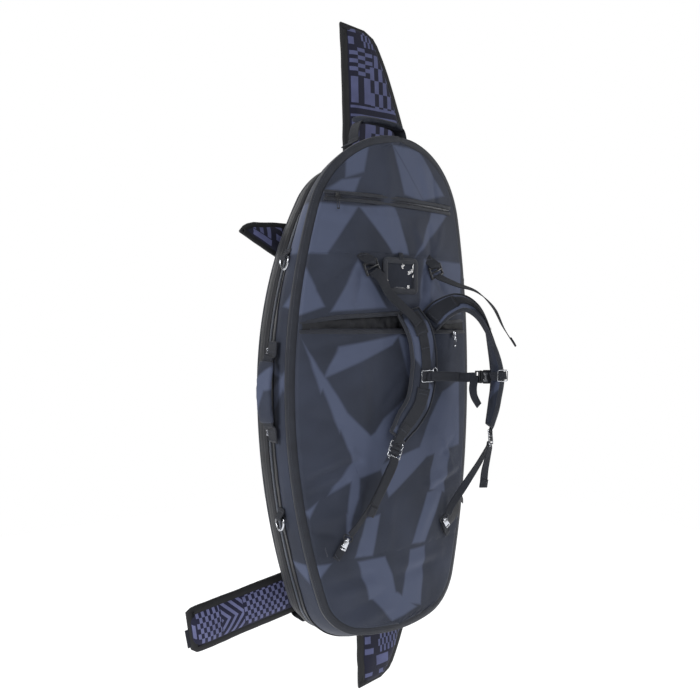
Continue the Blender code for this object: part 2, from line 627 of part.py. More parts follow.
def build_sleeves(bag):
    """Long wing sleeve, small wing sleeve and mast sleeve, with the straps that hold them."""
    half_length = 0.79
    end_width = 0.090
    mid_width = 0.235
    steps = 10
    curved = []
    for step in range(-steps, steps + 1):
        s = step / steps
        curved.append((end_width + (mid_width - end_width) * (1 - abs(s) ** 3), s * half_length))
    outline = [(0.0, half_length), (0.0, -half_length)] + curved
    tilt = Vector((-0.034, 0, 1))
    sleeve_y = BACK_Y + 0.006 + SLEEVE_THICKNESS / 2
    plate("long_wing_sleeve", [[(-x, y) for x, y in outline]], SLEEVE_THICKNESS,
          (0.0065, sleeve_y, 0.566), OUT_BACK, tilt, "pattern_cloth", bag)

    outer_y = sleeve_y + SLEEVE_THICKNESS + 0.004
    mast_tilt = math.radians(8.0)
    mast_up = Vector((-math.sin(mast_tilt), 0, math.cos(mast_tilt)))
    plate("mast_sleeve", [rectangle(0.74, 0.102, 0.006)], SLEEVE_THICKNESS,
          (-0.018, outer_y, 0.060), OUT_BACK, mast_up, "pattern_cloth", bag)

    wing = [(0.250, 0.030), (0.228, 0.052), (0.120, 0.060), (-0.120, 0.060), (-0.228, 0.052),
            (-0.250, 0.030), (-0.160, -0.022), (-0.080, -0.056), (0.0, -0.068), (0.080, -0.056),
            (0.160, -0.022)]
    plate("small_wing_sleeve", [wing], SLEEVE_THICKNESS - 0.006, (-0.012, outer_y - 0.002, 0.826),
          OUT_BACK, UP, "pattern_cloth", bag)

    strap_y = sleeve_y + SLEEVE_THICKNESS / 2 + 0.0022
    panel_y = BACK_Y + 0.0030
    for name, z in (("upper", 0.655), ("lower", 0.330)):
        wide = ZIP_EDGE.half_width(z)
        path = [(-wide + 0.004, panel_y, z), (-0.120, panel_y, z), (-0.040, panel_y, z),
                (-0.018, panel_y + 0.012, z), (0.000, strap_y - 0.001, z), (0.030, strap_y + 0.0005, z),
                (0.120, strap_y, z), (0.205, strap_y, z)]
        ribbon(f"sleeve_strap_{name}", path, WEBBING_WIDTH, WEBBING_THICKNESS, OUT_BACK, "webbing", bag, 2)
        buckle(f"sleeve_{name}", Vector((-0.105, panel_y + 0.0065, z)), OUT_BACK, Vector((-1, 0, 0)), bag,
               WEBBING_WIDTH)
    loop_y = outer_y + SLEEVE_THICKNESS / 2 + 0.0035
    for name, x, low, high in (("mast", -0.115, -0.012, 0.107), ("small_wing", -0.115, 0.770, 0.902)):
        path = [(x, panel_y, low + 0.004), (x, panel_y + 0.020, low - 0.004), (x, loop_y - 0.012, low - 0.004),
                (x, loop_y, low + 0.010), (x, loop_y, high - 0.010), (x, loop_y - 0.012, high + 0.004),
                (x, panel_y + 0.020, high + 0.004), (x, panel_y, high - 0.004)]
        middle = Vector((x, (panel_y + loop_y) / 2, (low + high) / 2))
        outs = [(Vector(point) - middle).normalized() for point in path]
        ribbon(f"{name}_loop", path, WEBBING_WIDTH, WEBBING_THICKNESS, outs, "webbing", bag, 2)


BAG = add_pivot("bag_frame", (0, 0, 0))
LID = add_pivot("lid_axis", (HINGE_X, 0.0, WAIST_Z), BAG)
build_back(BAG)
build_lid_shell(LID)
build_front_pockets(LID)
build_zip_sliders(BAG, LID)
build_handles(LID)
build_rings(LID)
build_harness(LID)
build_sleeves(BAG)
BAG.location = -HANG_POINT
bpy.context.view_layer.update()
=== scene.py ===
"""Board bag with a stowed backpack harness and three padded foil sleeves, as a studio scene."""
import json
import math

import bmesh
import bpy
from mathutils import Matrix, Vector, noise
from mathutils.geometry import convex_hull_2d


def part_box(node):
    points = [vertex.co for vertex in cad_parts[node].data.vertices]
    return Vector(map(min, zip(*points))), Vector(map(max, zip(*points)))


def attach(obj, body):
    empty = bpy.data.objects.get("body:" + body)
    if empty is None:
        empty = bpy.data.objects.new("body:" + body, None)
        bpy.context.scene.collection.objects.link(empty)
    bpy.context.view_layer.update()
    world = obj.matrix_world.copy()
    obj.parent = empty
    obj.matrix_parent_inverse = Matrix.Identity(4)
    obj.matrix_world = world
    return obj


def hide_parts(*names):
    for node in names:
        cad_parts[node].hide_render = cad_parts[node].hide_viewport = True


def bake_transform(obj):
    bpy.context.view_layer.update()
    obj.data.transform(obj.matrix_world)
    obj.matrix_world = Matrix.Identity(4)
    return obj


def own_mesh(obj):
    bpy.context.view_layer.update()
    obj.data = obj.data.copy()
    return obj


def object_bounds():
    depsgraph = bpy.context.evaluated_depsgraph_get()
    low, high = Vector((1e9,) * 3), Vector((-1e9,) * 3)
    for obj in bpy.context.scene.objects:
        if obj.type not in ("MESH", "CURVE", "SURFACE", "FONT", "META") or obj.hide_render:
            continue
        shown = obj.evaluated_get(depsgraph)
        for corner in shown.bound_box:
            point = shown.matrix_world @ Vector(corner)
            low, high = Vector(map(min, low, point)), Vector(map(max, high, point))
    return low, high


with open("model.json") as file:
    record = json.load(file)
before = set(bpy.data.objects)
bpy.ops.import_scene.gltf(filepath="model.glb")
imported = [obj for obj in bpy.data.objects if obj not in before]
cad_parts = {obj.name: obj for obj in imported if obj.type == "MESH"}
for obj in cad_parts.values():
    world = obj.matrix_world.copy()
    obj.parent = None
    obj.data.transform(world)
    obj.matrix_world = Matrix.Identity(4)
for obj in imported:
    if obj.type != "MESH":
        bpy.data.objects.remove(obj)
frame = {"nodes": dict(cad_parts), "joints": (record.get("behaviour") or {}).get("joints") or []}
CAD_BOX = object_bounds()


# Camera and studio ---------------------------------------------------------------------------
# The bag is placed a hand's breadth clear of the floor, as it would hang by its nose handle. The floor is
# matt white paper, the world behind it is plain white, and five large soft boxes light it as for a catalogue.

FOOT_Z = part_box("front_binding")[0].z + 0.001
FRONT_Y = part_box("front_binding")[0].y + 0.002


def at(x, y, z):
    """A point of the bag: y back from the crown of its front, z up from its lowest edge."""
    return Vector((x, FRONT_Y + 0.12 + y, FOOT_Z + z))


def linear(code, share=1.0):
    """Turns an sRGB hex colour into the linear values that shaders take."""
    parts = [int(code[i:i + 2], 16) / 255 for i in (1, 3, 5)]
    return (*[share * (c / 12.92 if c <= 0.04045 else ((c + 0.055) / 1.055) ** 2.4) for c in parts], 1.0)


camera = bpy.data.objects.new("camera", bpy.data.cameras.new("camera"))
camera.data.lens = 35.64
camera.data.sensor_width = 36.0
camera.location = at(-0.929, -1.268, 0.643)
camera.rotation_euler = (math.radians(90 - 1.65), 0, math.radians(-35))
bpy.context.scene.collection.objects.link(camera)
bpy.context.scene.camera = camera

paper = bpy.data.materials.new("white_studio_paper")
paper.use_nodes = True
paper.node_tree.nodes["Principled BSDF"].inputs["Base Color"].default_value = linear("#8e9094")
paper.node_tree.nodes["Principled BSDF"].inputs["Roughness"].default_value = 0.9
paper.node_tree.nodes["Principled BSDF"].inputs["Emission Color"].default_value = (1.0, 1.0, 1.0, 1.0)
paper.node_tree.nodes["Principled BSDF"].inputs["Emission Strength"].default_value = 1.0
form = bmesh.new()
bmesh.ops.create_grid(form, x_segments=1, y_segments=1, size=2.4)
floor_mesh = bpy.data.meshes.new("studio_floor")
form.to_mesh(floor_mesh)
form.free()
floor_mesh.materials.append(paper)
floor = bpy.data.objects.new("studio_floor", floor_mesh)
floor.location = (0, 0, CAD_BOX[0].z - 0.12)
bpy.context.scene.collection.objects.link(floor)

sky = bpy.data.worlds.new("studio_white")
sky.use_nodes = True
sky.node_tree.nodes["Background"].inputs["Color"].default_value = (1.0, 1.0, 1.0, 1.0)
sky.node_tree.nodes["Background"].inputs["Strength"].default_value = 1.0
dim = sky.node_tree.nodes.new("ShaderNodeBackground")
dim.inputs["Strength"].default_value = 0.2
seen = sky.node_tree.nodes.new("ShaderNodeLightPath")
either = sky.node_tree.nodes.new("ShaderNodeMixShader")
sky.node_tree.links.new(seen.outputs["Is Camera Ray"], either.inputs[0])
sky.node_tree.links.new(dim.outputs[0], either.inputs[1])
sky.node_tree.links.new(sky.node_tree.nodes["Background"].outputs[0], either.inputs[2])
sky.node_tree.links.new(either.outputs[0], sky.node_tree.nodes["World Output"].inputs[0])
bpy.context.scene.world = sky
bpy.context.scene.view_settings.view_transform = "Standard"

for name, place, power, size in (("key_softbox", (-0.6, -2.9, 1.3), 20, 1.4),
                                 ("side_softbox", (-2.8, -0.5, 0.2), 42, 0.9),
                                 ("fill_softbox", (2.8, -1.6, 0.3), 34, 1.2),
                                 ("top_softbox", (0.3, 0.4, 2.4), 10, 1.8),
                                 ("rear_softbox", (-0.6, 3.0, 0.8), 26, 2.0)):
    lamp = bpy.data.objects.new(name, bpy.data.lights.new(name, "AREA"))
    lamp.data.energy = power
    lamp.data.size = size
    lamp.location = place
    lamp.rotation_euler = (Vector((0, 0, -0.55)) - Vector(place)).to_track_quat("-Z", "Y").to_euler()
    bpy.context.scene.collection.objects.link(lamp)


# Shell cloth ---------------------------------------------------------------------------------
# The outer cloth is a 600 denier polyester, calendered and printed in two slate tones with large
# angular shards. Its plain weave shows as a fine grain and it has a slight sheen at grazing angles.

def new_finish(name, roughness, metallic=0.0, **settings):
    """A Principled material; settings name more of its inputs, with _ for each space."""
    made = bpy.data.materials.new(name)
    made.use_nodes = True
    inputs = made.node_tree.nodes["Principled BSDF"].inputs
    inputs["Roughness"].default_value = roughness
    inputs["Metallic"].default_value = metallic
    for key, value in settings.items():
        inputs[key.replace("_", " ")].default_value = value
    return made


def add(tree, kind, links=(), settings=(), out=0, **properties):
    """Adds one node with its properties, input values and links, and gives back one of its outputs."""
    node = tree.nodes.new(kind)
    for key, value in properties.items():
        setattr(node, key, value)
    for socket, value in settings:
        node.inputs[socket].default_value = value
    for socket, source in links:
        tree.links.new(source, node.inputs[socket])
    return node.outputs[out]


def join_tones(tree, mask, off, on):
    """Two colours mixed by a mask."""
    node = tree.nodes.new("ShaderNodeMix")
    node.data_type = "RGBA"
    for socket, value in ((6, off), (7, on)):
        if isinstance(value, tuple):
            node.inputs[socket].default_value = value
        else:
            tree.links.new(value, node.inputs[socket])
    tree.links.new(mask, node.inputs[0])
    return node.outputs[2]


def finish_surface(tree, colour, height, distance, strength=0.5):
    """Feeds a colour and a height in metres to the shader."""
    shader = tree.nodes["Principled BSDF"]
    tree.links.new(colour, shader.inputs["Base Color"])
    bump = add(tree, "ShaderNodeBump", [("Height", height)],
               [("Distance", distance), ("Strength", strength)])
    tree.links.new(bump, shader.inputs["Normal"])


def weave_height(tree, where, pitch):
    """Plain weave: over and under threads at a pitch in metres, from any metric coordinate."""
    scaled = add(tree, "ShaderNodeVectorMath", [(0, where)], [(1, (1 / pitch,) * 3)], operation="MULTIPLY")
    checks = add(tree, "ShaderNodeTexChecker", [("Vector", scaled)],
                 [("Scale", 1.0), ("Color1", (1, 1, 1, 1)), ("Color2", (0, 0, 0, 1))])
    return checks


THREAD_PITCH = 0.0016     # real threads are 0.5 mm apart, drawn coarser so that they show
CREASE = 14.0             # height of the soft creases, as a multiple of the threads' height

# Light shards of the print: corners as x and height on the bag, in metres.
LIGHT_SHARDS = (
    ((-.13, .95), (-.127, 1.01), (-.077, 1.022), (-.089, .966)),
    ((-.18, .917), (-.137, .946), (-.097, .953), (-.11, .92)),
    ((-.018, 1.03), (.055, 1.028), (.137, .943), (.069, .924)),
    ((-.018, 1.03), (.074, .92), (.015, .93)),
    ((-.205, .897), (-.103, .894), (-.169, .795), (-.215, .795)),
    ((-.1, .894), (-.014, .901), (.024, .804), (-.018, .804)),
    ((.097, .907), (.155, .907), (.046, .802)),
    ((-.222, .79), (-.176, .69), (-.23, .67)),
    ((-.103, .785), (-.075, .748), (-.04, .69), (-.163, .68)),
    ((.07, .797), (.205, .797), (.205, .68), (.05, .68)),
    ((-.214, .61), (-.172, .538), (-.186, .518)),
    ((-.189, .542), (-.177, .548), (-.126, .466), (-.146, .436)),
    ((-.148, .45), (-.132, .476), (-.066, .414), (-.112, .362)),
    ((-.181, .546), (-.15, .609), (-.012, .634), (-.03, .612)),
    ((-.075, .418), (-.046, .458), (.017, .503), (.014, .47), (-.046, .378)),
    ((-.117, .373), (-.078, .424), (-.032, .45), (-.029, .39), (-.051, .351), (-.103, .338)),
    ((-.112, .378), (-.104, .34), (-.165, .311), (-.156, .324)),
    ((-.117, .354), (-.1, .35), (-.103, .298), (-.119, .255), (-.129, .26)),
    ((-.13, .268), (-.116, .264), (-.123, .21), (-.128, .224)),
    ((-.016, .632), (.008, .628), (.033, .572), (.023, .54), (.014, .55)),
    ((.035, .645), (.085, .645), (.062, .56), (.03, .52)),
    ((.04, .362), (.085, .45), (.125, .505), (.195, .53), (.2, .378)),
    ((-.054, .362), (.049, .388), (.118, .394), (-.029, .291)),
    ((.11, .386), (.16, .388), (.141, .277), (.088, .291), (.092, .334)),
    ((.082, .285), (.138, .29), (.077, .176), (.037, .18)),
    ((-.213, .279), (-.191, .295), (-.205, .266)),
    ((-.085, .253), (-.051, .257), (-.067, .172), (-.108, .174)),
    ((-.101, .164), (-.037, .165), (-.018, .124), (-.003, .066), (-.074, .08)),
    ((-.078, .094), (-.003, .082), (.051, .038), (-.017, .022)),
    ((.031, .167), (.077, .167), (.064, .039), (.006, .058)),
    ((-.2, .168), (-.161, .168), (-.192, .13)),
)


def shard_mask(tree, where, corners):
    """Distance inside a convex shard, in metres, negative outside it."""
    inside = None
    around = sum(corners[i - 1][0] * corners[i][1] - corners[i][0] * corners[i - 1][1]
                 for i in range(len(corners)))
    for i in range(len(corners)):
        (x0, z0), (x1, z1) = corners[i - 1], corners[i]
        length = math.copysign(math.hypot(x1 - x0, z1 - z0), around)
        nx, nz = (z0 - z1) / length, (x1 - x0) / length
        side = add(tree, "ShaderNodeVectorMath", [(0, where)],
                   [(1, (nx, nz, -nx * x0 - nz * z0))], operation="DOT_PRODUCT", out=1)
        inside = side if inside is None else add(
            tree, "ShaderNodeMath", [(0, inside), (1, side)], operation="MINIMUM")
    return inside


def printed_cloth(name, dark, light):
    """Woven polyester printed with the light shards; needs the UV map called print, in metres."""
    made = new_finish(name, 0.62, Sheen_Weight=0.06, Sheen_Roughness=0.4, Specular_IOR_Level=0.2)
    tree = made.node_tree
    uv = add(tree, "ShaderNodeUVMap", uv_map="print")
    where = add(tree, "ShaderNodeVectorMath", [(0, uv)], [(1, (0, 0, 1))], operation="ADD")
    best = None
    for corners in LIGHT_SHARDS:
        mask = shard_mask(tree, where, corners)
        best = mask if best is None else add(tree, "ShaderNodeMath", [(0, best), (1, mask)],
                                             operation="MAXIMUM")
    crisp = add(tree, "ShaderNodeMapRange", [("Value", best)], [("From Min", -0.003), ("From Max", 0.003)])
    cloudy = add(tree, "ShaderNodeTexNoise", [("Vector", uv)], [("Scale", 7.0), ("Detail", 2.0)])
    shade = add(tree, "ShaderNodeMapRange", [("Value", cloudy)],
                [("From Min", 0.35), ("From Max", 0.65), ("To Min", 0.0), ("To Max", 0.22)])
    base = join_tones(tree, shade, linear(dark), linear(light))
    tone = join_tones(tree, crisp, base, linear(light))
    threads = weave_height(tree, uv, THREAD_PITCH)
    grain = add(tree, "ShaderNodeTexNoise", [("Vector", uv)], [("Scale", 900.0), ("Detail", 1.0)])
    worn = add(tree, "ShaderNodeMapRange", [("Value", grain)],
               [("From Min", 0.3), ("From Max", 0.7), ("To Min", 0.0), ("To Max", 0.16)])
    dusty = join_tones(tree, worn, tone, linear("#5f667d"))
    crease = add(tree, "ShaderNodeTexNoise", [("Vector", uv)],
                 [("Scale", 15.0), ("Detail", 3.0), ("Distortion", 0.6)])
    creased = add(tree, "ShaderNodeMath", [(0, crease)], [(1, CREASE)], operation="MULTIPLY")
    fine = add(tree, "ShaderNodeMath", [(0, threads), (1, grain)], operation="ADD")
    height = add(tree, "ShaderNodeMath", [(0, fine), (1, creased)], operation="ADD")
    finish_surface(tree, dusty, height, 0.0003, 0.35)
    return made


def loft(name, rows, prints=None, closed=False):
    """A mesh through rows of points, with a UV map in metres called print."""
    mesh = bpy.data.meshes.new(name)
    form = bmesh.new()
    print_map = form.loops.layers.uv.new("print")
    grid = [[form.verts.new(point) for point in row] for row in rows]
    if prints is None:
        run = 0.0
        prints = []
        for i, row in enumerate(rows):
            run += (row[0] - rows[i - 1][0]).length if i else 0.0
            reach = 0.0
            line = []
            for j, point in enumerate(row):
                reach += (point - row[j - 1]).length if j else 0.0
                line.append((reach, run))
            prints.append(line)
    if closed:
        grid.append(grid[0])
        step = (rows[0][0] - rows[-1][0]).length
        prints = prints + [[(u, prints[-1][j][1] + step) for j, (u, _) in enumerate(prints[0])]]
    for i in range(len(grid) - 1):
        for j in range(len(grid[0]) - 1):
            corners = ((i, j), (i + 1, j), (i + 1, j + 1), (i, j + 1))
            face = form.faces.new([grid[a][b] for a, b in corners])
            face.smooth = True
            for corner, (a, b) in zip(face.loops, corners):
                corner[print_map].uv = prints[a][b]
    form.to_mesh(mesh)
    form.free()
    return mesh


def piece(name, mesh, finish, body, replaced=()):
    """Puts a mesh in the scene as a piece that rides on a body, if one is named, and replaces CAD solids."""
    made = bpy.data.objects.new(name, mesh)
    bpy.context.scene.collection.objects.link(made)
    mesh.materials.append(finish)
    if body:
        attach(made, body)
    if replaced:
        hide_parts(*replaced)
    return made


def thicken(made, thickness, offset=-1.0):
    """Gives a sheet its real thickness, inwards unless offset says otherwise."""
    shell = made.modifiers.new("thickness", "SOLIDIFY")
    shell.thickness = thickness
    shell.offset = offset
    return made


# Two slate tones with crisp angular edges, dulled by a dusty grain and soft creases.
shell_cloth = printed_cloth("printed_polyester_cloth", "#292d37", "#50586f")


# Outlines ------------------------------------------------------------------------------------
# The front edge and the zip edge are smooth egg shapes. Every seam, tape and panel of the shell
# follows one of them, so they are read once from the bindings.


def spline(points, steps, closed=False):
    """Catmull-Rom curve through points, with steps points for each span."""
    count = len(points)
    if closed:
        knots = [points[-1]] + list(points) + [points[0], points[1]]
    else:
        knots = [points[0] * 2 - points[1]] + list(points) + [points[-1] * 2 - points[-2]]
    path = []
    for k in range(count if closed else count - 1):
        a, b, c, d = knots[k:k + 4]
        for step in range(steps):
            t = step / steps
            path.append(0.5 * (2 * b + (c - a) * t + (2 * a - 5 * b + 4 * c - d) * t ** 2
                               + (3 * b - a - 3 * c + d) * t ** 3))
    if not closed:
        path.append(points[-1].copy())
    return path


def distances(path):
    """How far along a path each of its points lies."""
    marks = [0.0]
    for a, b in zip(path, path[1:]):
        marks.append(marks[-1] + (b - a).length)
    return marks


def resample(path, count):
    """The same open line with evenly spaced points."""
    marks = distances(path)
    out, k = [], 0
    for i in range(count):
        want = marks[-1] * i / (count - 1)
        while k < len(marks) - 2 and marks[k + 1] < want:
            k += 1
        out.append(path[k].lerp(path[k + 1], (want - marks[k]) / max(marks[k + 1] - marks[k], 1e-9)))
    return out


RIM_POINTS = 320


def rim_of(node, grow):
    """Outer edge of a binding in x and z, clockwise from its top, moved in by grow."""
    flat = [Vector((v.co.x, v.co.z)) for v in frame["nodes"][node].data.vertices]
    hull = [flat[i] for i in convex_hull_2d(flat)]
    area = sum(a.cross(b) for a, b in zip(hull, hull[1:] + hull[:1]))
    if area > 0:
        hull.reverse()
    top = max(range(len(hull)), key=lambda i: hull[i].y)
    line = spline(hull[top:] + hull[:top], 6, closed=True)
    return grown(resample(line + [line[0]], RIM_POINTS + 1)[:-1], -grow)


def grown(ring, amount):
    """A closed clockwise line moved outwards."""
    out = []
    for i, point in enumerate(ring):
        way = (ring[(i + 1) % len(ring)] - ring[i - 1]).normalized()
        out.append(point + Vector((-way.y, way.x)) * amount)
    return out


FRONT_RIM = rim_of("front_binding", 0.001)
ZIP_RIM = rim_of("back_binding", 0.0)
CROWN_RADIUS = 0.69


def bow(x):
    """Depth of the bowed front at x, behind its crown."""
    return FRONT_Y + CROWN_RADIUS - math.sqrt(CROWN_RADIUS ** 2 - x ** 2)


def ring_width(ring, level):
    """Half of an outline's width at a level."""
    for a, b in zip(ring, ring[1:]):
        if a.y >= level >= b.y and a.x > 0:
            return a.x + (b.x - a.x) * (a.y - level) / max(a.y - b.y, 1e-9)
    return 0.0


def half_width(z, inset):
    """Half of the front's width at a height on the bag."""
    return ring_width(grown(FRONT_RIM, -inset), FOOT_Z + z)


# Front cloth ---------------------------------------------------------------------------------
# The front is one cut of printed cloth over foam, bowed across and sewn into the edge binding.
# Soft folds lie where the cloth is slack and it puckers along its seams.

FOLDS = (   # x and height of both ends, width across, height of the fold, all in metres
    (-.215, .335, -.105, .372, .0085, -.0042), (-.212, .352, -.12, .392, .01, .0034),
    (-.21, .308, -.13, .336, .008, -.0036), (-.2, .236, -.15, .226, .008, -.003),
    (-.205, .372, -.15, .41, .012, .0026), (-.19, .258, -.12, .268, .014, .0028),
    (-.165, .12, -.07, .128, .012, -.0042), (-.15, .104, -.06, .112, .015, .0034),
    (-.13, .058, -.04, .084, .011, -.0038), (.0, .118, .11, .124, .011, -.0032),
    (.02, .14, .13, .142, .012, .0024), (-.105, .036, -.02, .052, .01, .0024),
    (.11, .29, .2, .312, .009, -.0038), (.09, .302, .195, .328, .011, .0032),
    (.13, .36, .175, .392, .009, -.0028), (.14, .392, .17, .33, .007, .0032),
    (-.15, .5, -.075, .61, .03, .0026), (-.09, .44, -.1, .56, .012, .0022),
    (-.085, .45, .02, .56, .014, -.002), (-.205, .47, -.15, .455, .012, -.0024),
    (-.21, .56, -.16, .575, .012, -.0022), (-.205, .6, -.12, .622, .009, -.0032),
    (-.1, .22, -.095, .32, .01, .0024), (-.03, .19, -.02, .28, .012, .0022),
    (.06, .2, .11, .28, .014, .0026), (.15, .2, .15, .26, .008, .003),
    (-.112, .772, -.19, .72, .008, -.0028), (-.11, .764, -.165, .7, .01, .0024),
    (-.092, .76, -.11, .7, .009, -.0026), (.078, .772, .06, .7, .009, -.0034),
    (.092, .77, .086, .7, .009, .0034), (.104, .77, .15, .712, .01, -.003),
    (.112, .776, .185, .745, .01, .0026), (-.02, .7, .08, .712, .014, .0024),
    (.07, .805, .045, .86, .01, .003), (.09, .808, .085, .868, .008, -.0026),
    (.108, .808, .13, .87, .008, .0028), (-.2, .862, -.12, .856, .012, -.0016),
    (-.1, .806, -.12, .85, .01, .0018), (.09, .93, .06, 1.0, .012, .0026),
    (.11, .925, .1, .975, .008, -.0024), (-.02, .925, -.03, 1.01, .014, .0016),
)


def slack(x, z):
    """How far the cloth stands proud of its stretched shape at a point of the front."""
    lift = 0.0
    for x0, z0, x1, z1, wide, high in FOLDS:
        if not (min(x0, x1) - 3 * wide < x < max(x0, x1) + 3 * wide
                and min(z0, z1) - 3 * wide < z < max(z0, z1) + 3 * wide):
            continue
        dx, dz = x1 - x0, z1 - z0
        t = max(0.0, min(1.0, ((x - x0) * dx + (z - z0) * dz) / (dx * dx + dz * dz)))
        off = math.hypot(x - x0 - t * dx, z - z0 - t * dz) / wide
        lift += high * math.exp(-off * off) * (0.35 + 0.65 * math.sin(math.pi * min(1.0, 0.15 + t * 0.7)))
    lift *= 1.35
    lift += 0.0022 * noise.noise(Vector((x * 14, z * 9, 0.0)))
    lift += 0.0011 * noise.noise(Vector((x * 38, z * 30, 4.0)))
    return lift


def pucker(x, z, seam, reach=0.016):
    """Small gathers square to a level seam, dying out away from it."""
    near = math.exp(-((z - seam) / reach) ** 2)
    return near * 0.0011 * noise.noise(Vector((x * 160, 7.0, seam * 50)))


def front_cloth(name, low, high, inset, lift, rows, columns, body="lid", finish=shell_cloth,
                replaced=(), top=None, bottom=None, thickness=0.0014, wrinkle=1.0):
    """Cloth over the bowed front between two heights. lift(u, v) stands it off; top and bottom may
    be functions of x where an edge isn't level."""
    lines, prints = [], []
    for i in range(rows + 1):
        v = i / rows
        flat_z = low + (high - low) * v
        wide = half_width(flat_z, inset)
        line, marks = [], []
        for j in range(columns + 1):
            u = 2 * j / columns - 1
            x = wide * u
            z_low = bottom(x) if bottom else low
            z_high = top(x) if top else high
            z = z_low + (z_high - z_low) * v
            x = half_width(z, inset) * u if (top or bottom) else x
            rise = lift(u, v) + wrinkle * slack(x, z) * (1 - u ** 12)
            rise += pucker(x, z, z_low) + pucker(x, z, z_high)
            line.append(Vector((x, bow(x) - rise, FOOT_Z + z)))
            marks.append((x, z))
        lines.append(line)
        prints.append(marks)
    made = piece(name, loft(name, lines, prints), finish, body, replaced)
    return thicken(made, thickness)


def seam_edge(v, soft=0.05):
    """Rises from 0 at a panel's sewn edges to 1 inside, like cloth turned into a seam."""
    return min(1.0, min(v, 1 - v) / soft) ** 0.5 if 0 < v < 1 else 0.0


BINDING = 0.0175     # how far the edge tape reaches over the front
front_cloth("front_cloth", 0.014, 1.037, BINDING - 0.002, lambda u, v: 0.0006, 150, 72,
            replaced=("front_panel",), thickness=0.003)


# Top pocket, yoke and harness pocket ---------------------------------------------------------
# Three panels of the same cloth lie on the front. The top pocket closes with a zip along its upper
# edge, the yoke hangs free over the harness pocket, and that pocket gapes where the pads come out.

GAPE = 0.015                       # how far the harness pocket's mouth stands open
MOUTH_Z = 0.642                    # heights of that pocket's mouth and of the seam at its foot
BASE_SEAM_Z = 0.17
PANEL_INSET = BINDING - 0.001


def harness_pocket_lift(u, v):
    """The harness pocket lies flat at its foot and gapes towards its mouth."""
    return 0.0012 + 0.002 * seam_edge(v, 0.03) + GAPE * v ** 1.6 * (1 - abs(u) ** 6)


def yoke_hem(x):
    """The yoke's free lower edge is pulled up over the left pad and sags at both sides."""
    return (0.664 + 0.014 * math.exp(-((x + 0.035) / 0.075) ** 2) + 0.0035 * math.sin(x * 34)
            - 0.004 * abs(x) * 4)


front_cloth("top_pocket_cloth", 0.8015, 0.9035, PANEL_INSET,
            lambda u, v: 0.0014 + 0.0045 * seam_edge(v, 0.25) * (1 - u ** 4), 34, 72,
            replaced=("top_pocket",))
front_cloth("yoke_cloth", 0.668, 0.7995, PANEL_INSET,
            lambda u, v: 0.0016 + 0.0026 * seam_edge(v, 0.1) + 0.0062 * (1 - v) ** 2 * (1 - u ** 4), 44, 96,
            bottom=yoke_hem, replaced=("yoke_panel",))
front_cloth("harness_pocket_cloth", BASE_SEAM_Z, MOUTH_Z, PANEL_INSET, harness_pocket_lift, 110, 90,
            replaced=("harness_pocket",))

def mottled(made, low, high, scale, detail, distance, strength, weave=None, printed=True):
    """Two tones mixed by noise over the print or over the solid, raised by that noise or by a weave."""
    tree = made.node_tree
    where = add(tree, "ShaderNodeUVMap", uv_map="print") if printed else add(tree, "ShaderNodeNewGeometry")
    cloud = add(tree, "ShaderNodeTexNoise", [("Vector", where)], [("Scale", scale), ("Detail", detail)])
    height = weave_height(tree, where, weave) if weave else cloud
    finish_surface(tree, join_tones(tree, cloud, linear(low), linear(high)), height, distance, strength)
    return made


# Facing cloth with a fine weave; its near-black colour is painted shade that stands for the deep shadow in
# the pocket's mouth.
mouth_facing_painted_shade = mottled(new_finish("slate_taffeta_facing_painted_shade", 0.7), "#0c0d11", "#1c1f27", 30.0, 3.0, 0.0002, 0.3,
                        THREAD_PITCH)


def mouth_folds(u, v):
    """Slack facing cloth crumpled in the pocket's mouth."""
    crumple = 0.0048 * noise.noise(Vector((u * 9 + v * 2.0, v * 3.2, 2.0)))
    crumple += 0.003 * noise.noise(Vector((u * 26, v * 7.0, 8.0)))
    return 0.002 + (0.005 + crumple) * math.sin(math.pi * v) ** 2 * (1 - u ** 6)


# The facing's near-black colour is painted shade inside the pocket's mouth.
front_cloth("pocket_mouth_facing", 0.6, 0.7, PANEL_INSET + 0.004, mouth_folds, 30, 120,
            finish=mouth_facing_painted_shade, wrinkle=0.3)


# Edge tapes ----------------------------------------------------------------------------------
# 36 mm grosgrain folded over the raw edges: one round the front, one round the back and short
# lengths along the yoke's hem and the pocket's mouth. The front one is held by two rows of lockstitch.


def ribbed(made, pitch, low, high, depth, strength=0.5):
    """Ribs across a tape: print's second coordinate runs along it. Real ribs are 0.5 to 1 mm apart. Its
    colour is painted light on each rib's crest and painted shade in each groove, times a wear noise.
    """
    tree = made.node_tree
    uv = add(tree, "ShaderNodeUVMap", uv_map="print")
    along = add(tree, "ShaderNodeSeparateXYZ", [(0, uv)], out=1)
    turns = add(tree, "ShaderNodeMath", [(0, along)], [(1, 2 * math.pi / pitch)], operation="MULTIPLY")
    rib = add(tree, "ShaderNodeMath", [(0, turns)], operation="SINE")
    wear = add(tree, "ShaderNodeTexNoise", [("Vector", uv)], [("Scale", 45.0), ("Detail", 4.0)])
    # Painted light and shade: each rib's crest is coloured lighter and its groove darker, times the wear
    # noise.
    level = add(tree, "ShaderNodeMapRange", [("Value", rib)],
                [("From Min", -1.0), ("From Max", 1.0), ("To Min", 0.15), ("To Max", 0.75)])
    rib_painted_light_and_wear = add(tree, "ShaderNodeMath", [(0, level), (1, wear)], operation="MULTIPLY")
    finish_surface(tree, join_tones(tree, rib_painted_light_and_wear, linear(low), linear(high)), rib, depth, strength)
    return made


# Dark slate tape whose cross ribs have painted light on their crests and painted shade between them along the
# edges.
grosgrain = ribbed(new_finish("grosgrain_binding_tape", 0.68, Sheen_Weight=0.22, Specular_IOR_Level=0.34),
                   0.0018, "#1b1e26", "#3a3f4d", 0.0003)
# Thread a little lighter than the tape, so that each stitch reads as a dash.
thread = new_finish("bonded_nylon_thread", 0.45, Base_Color=linear("#3e424e"))


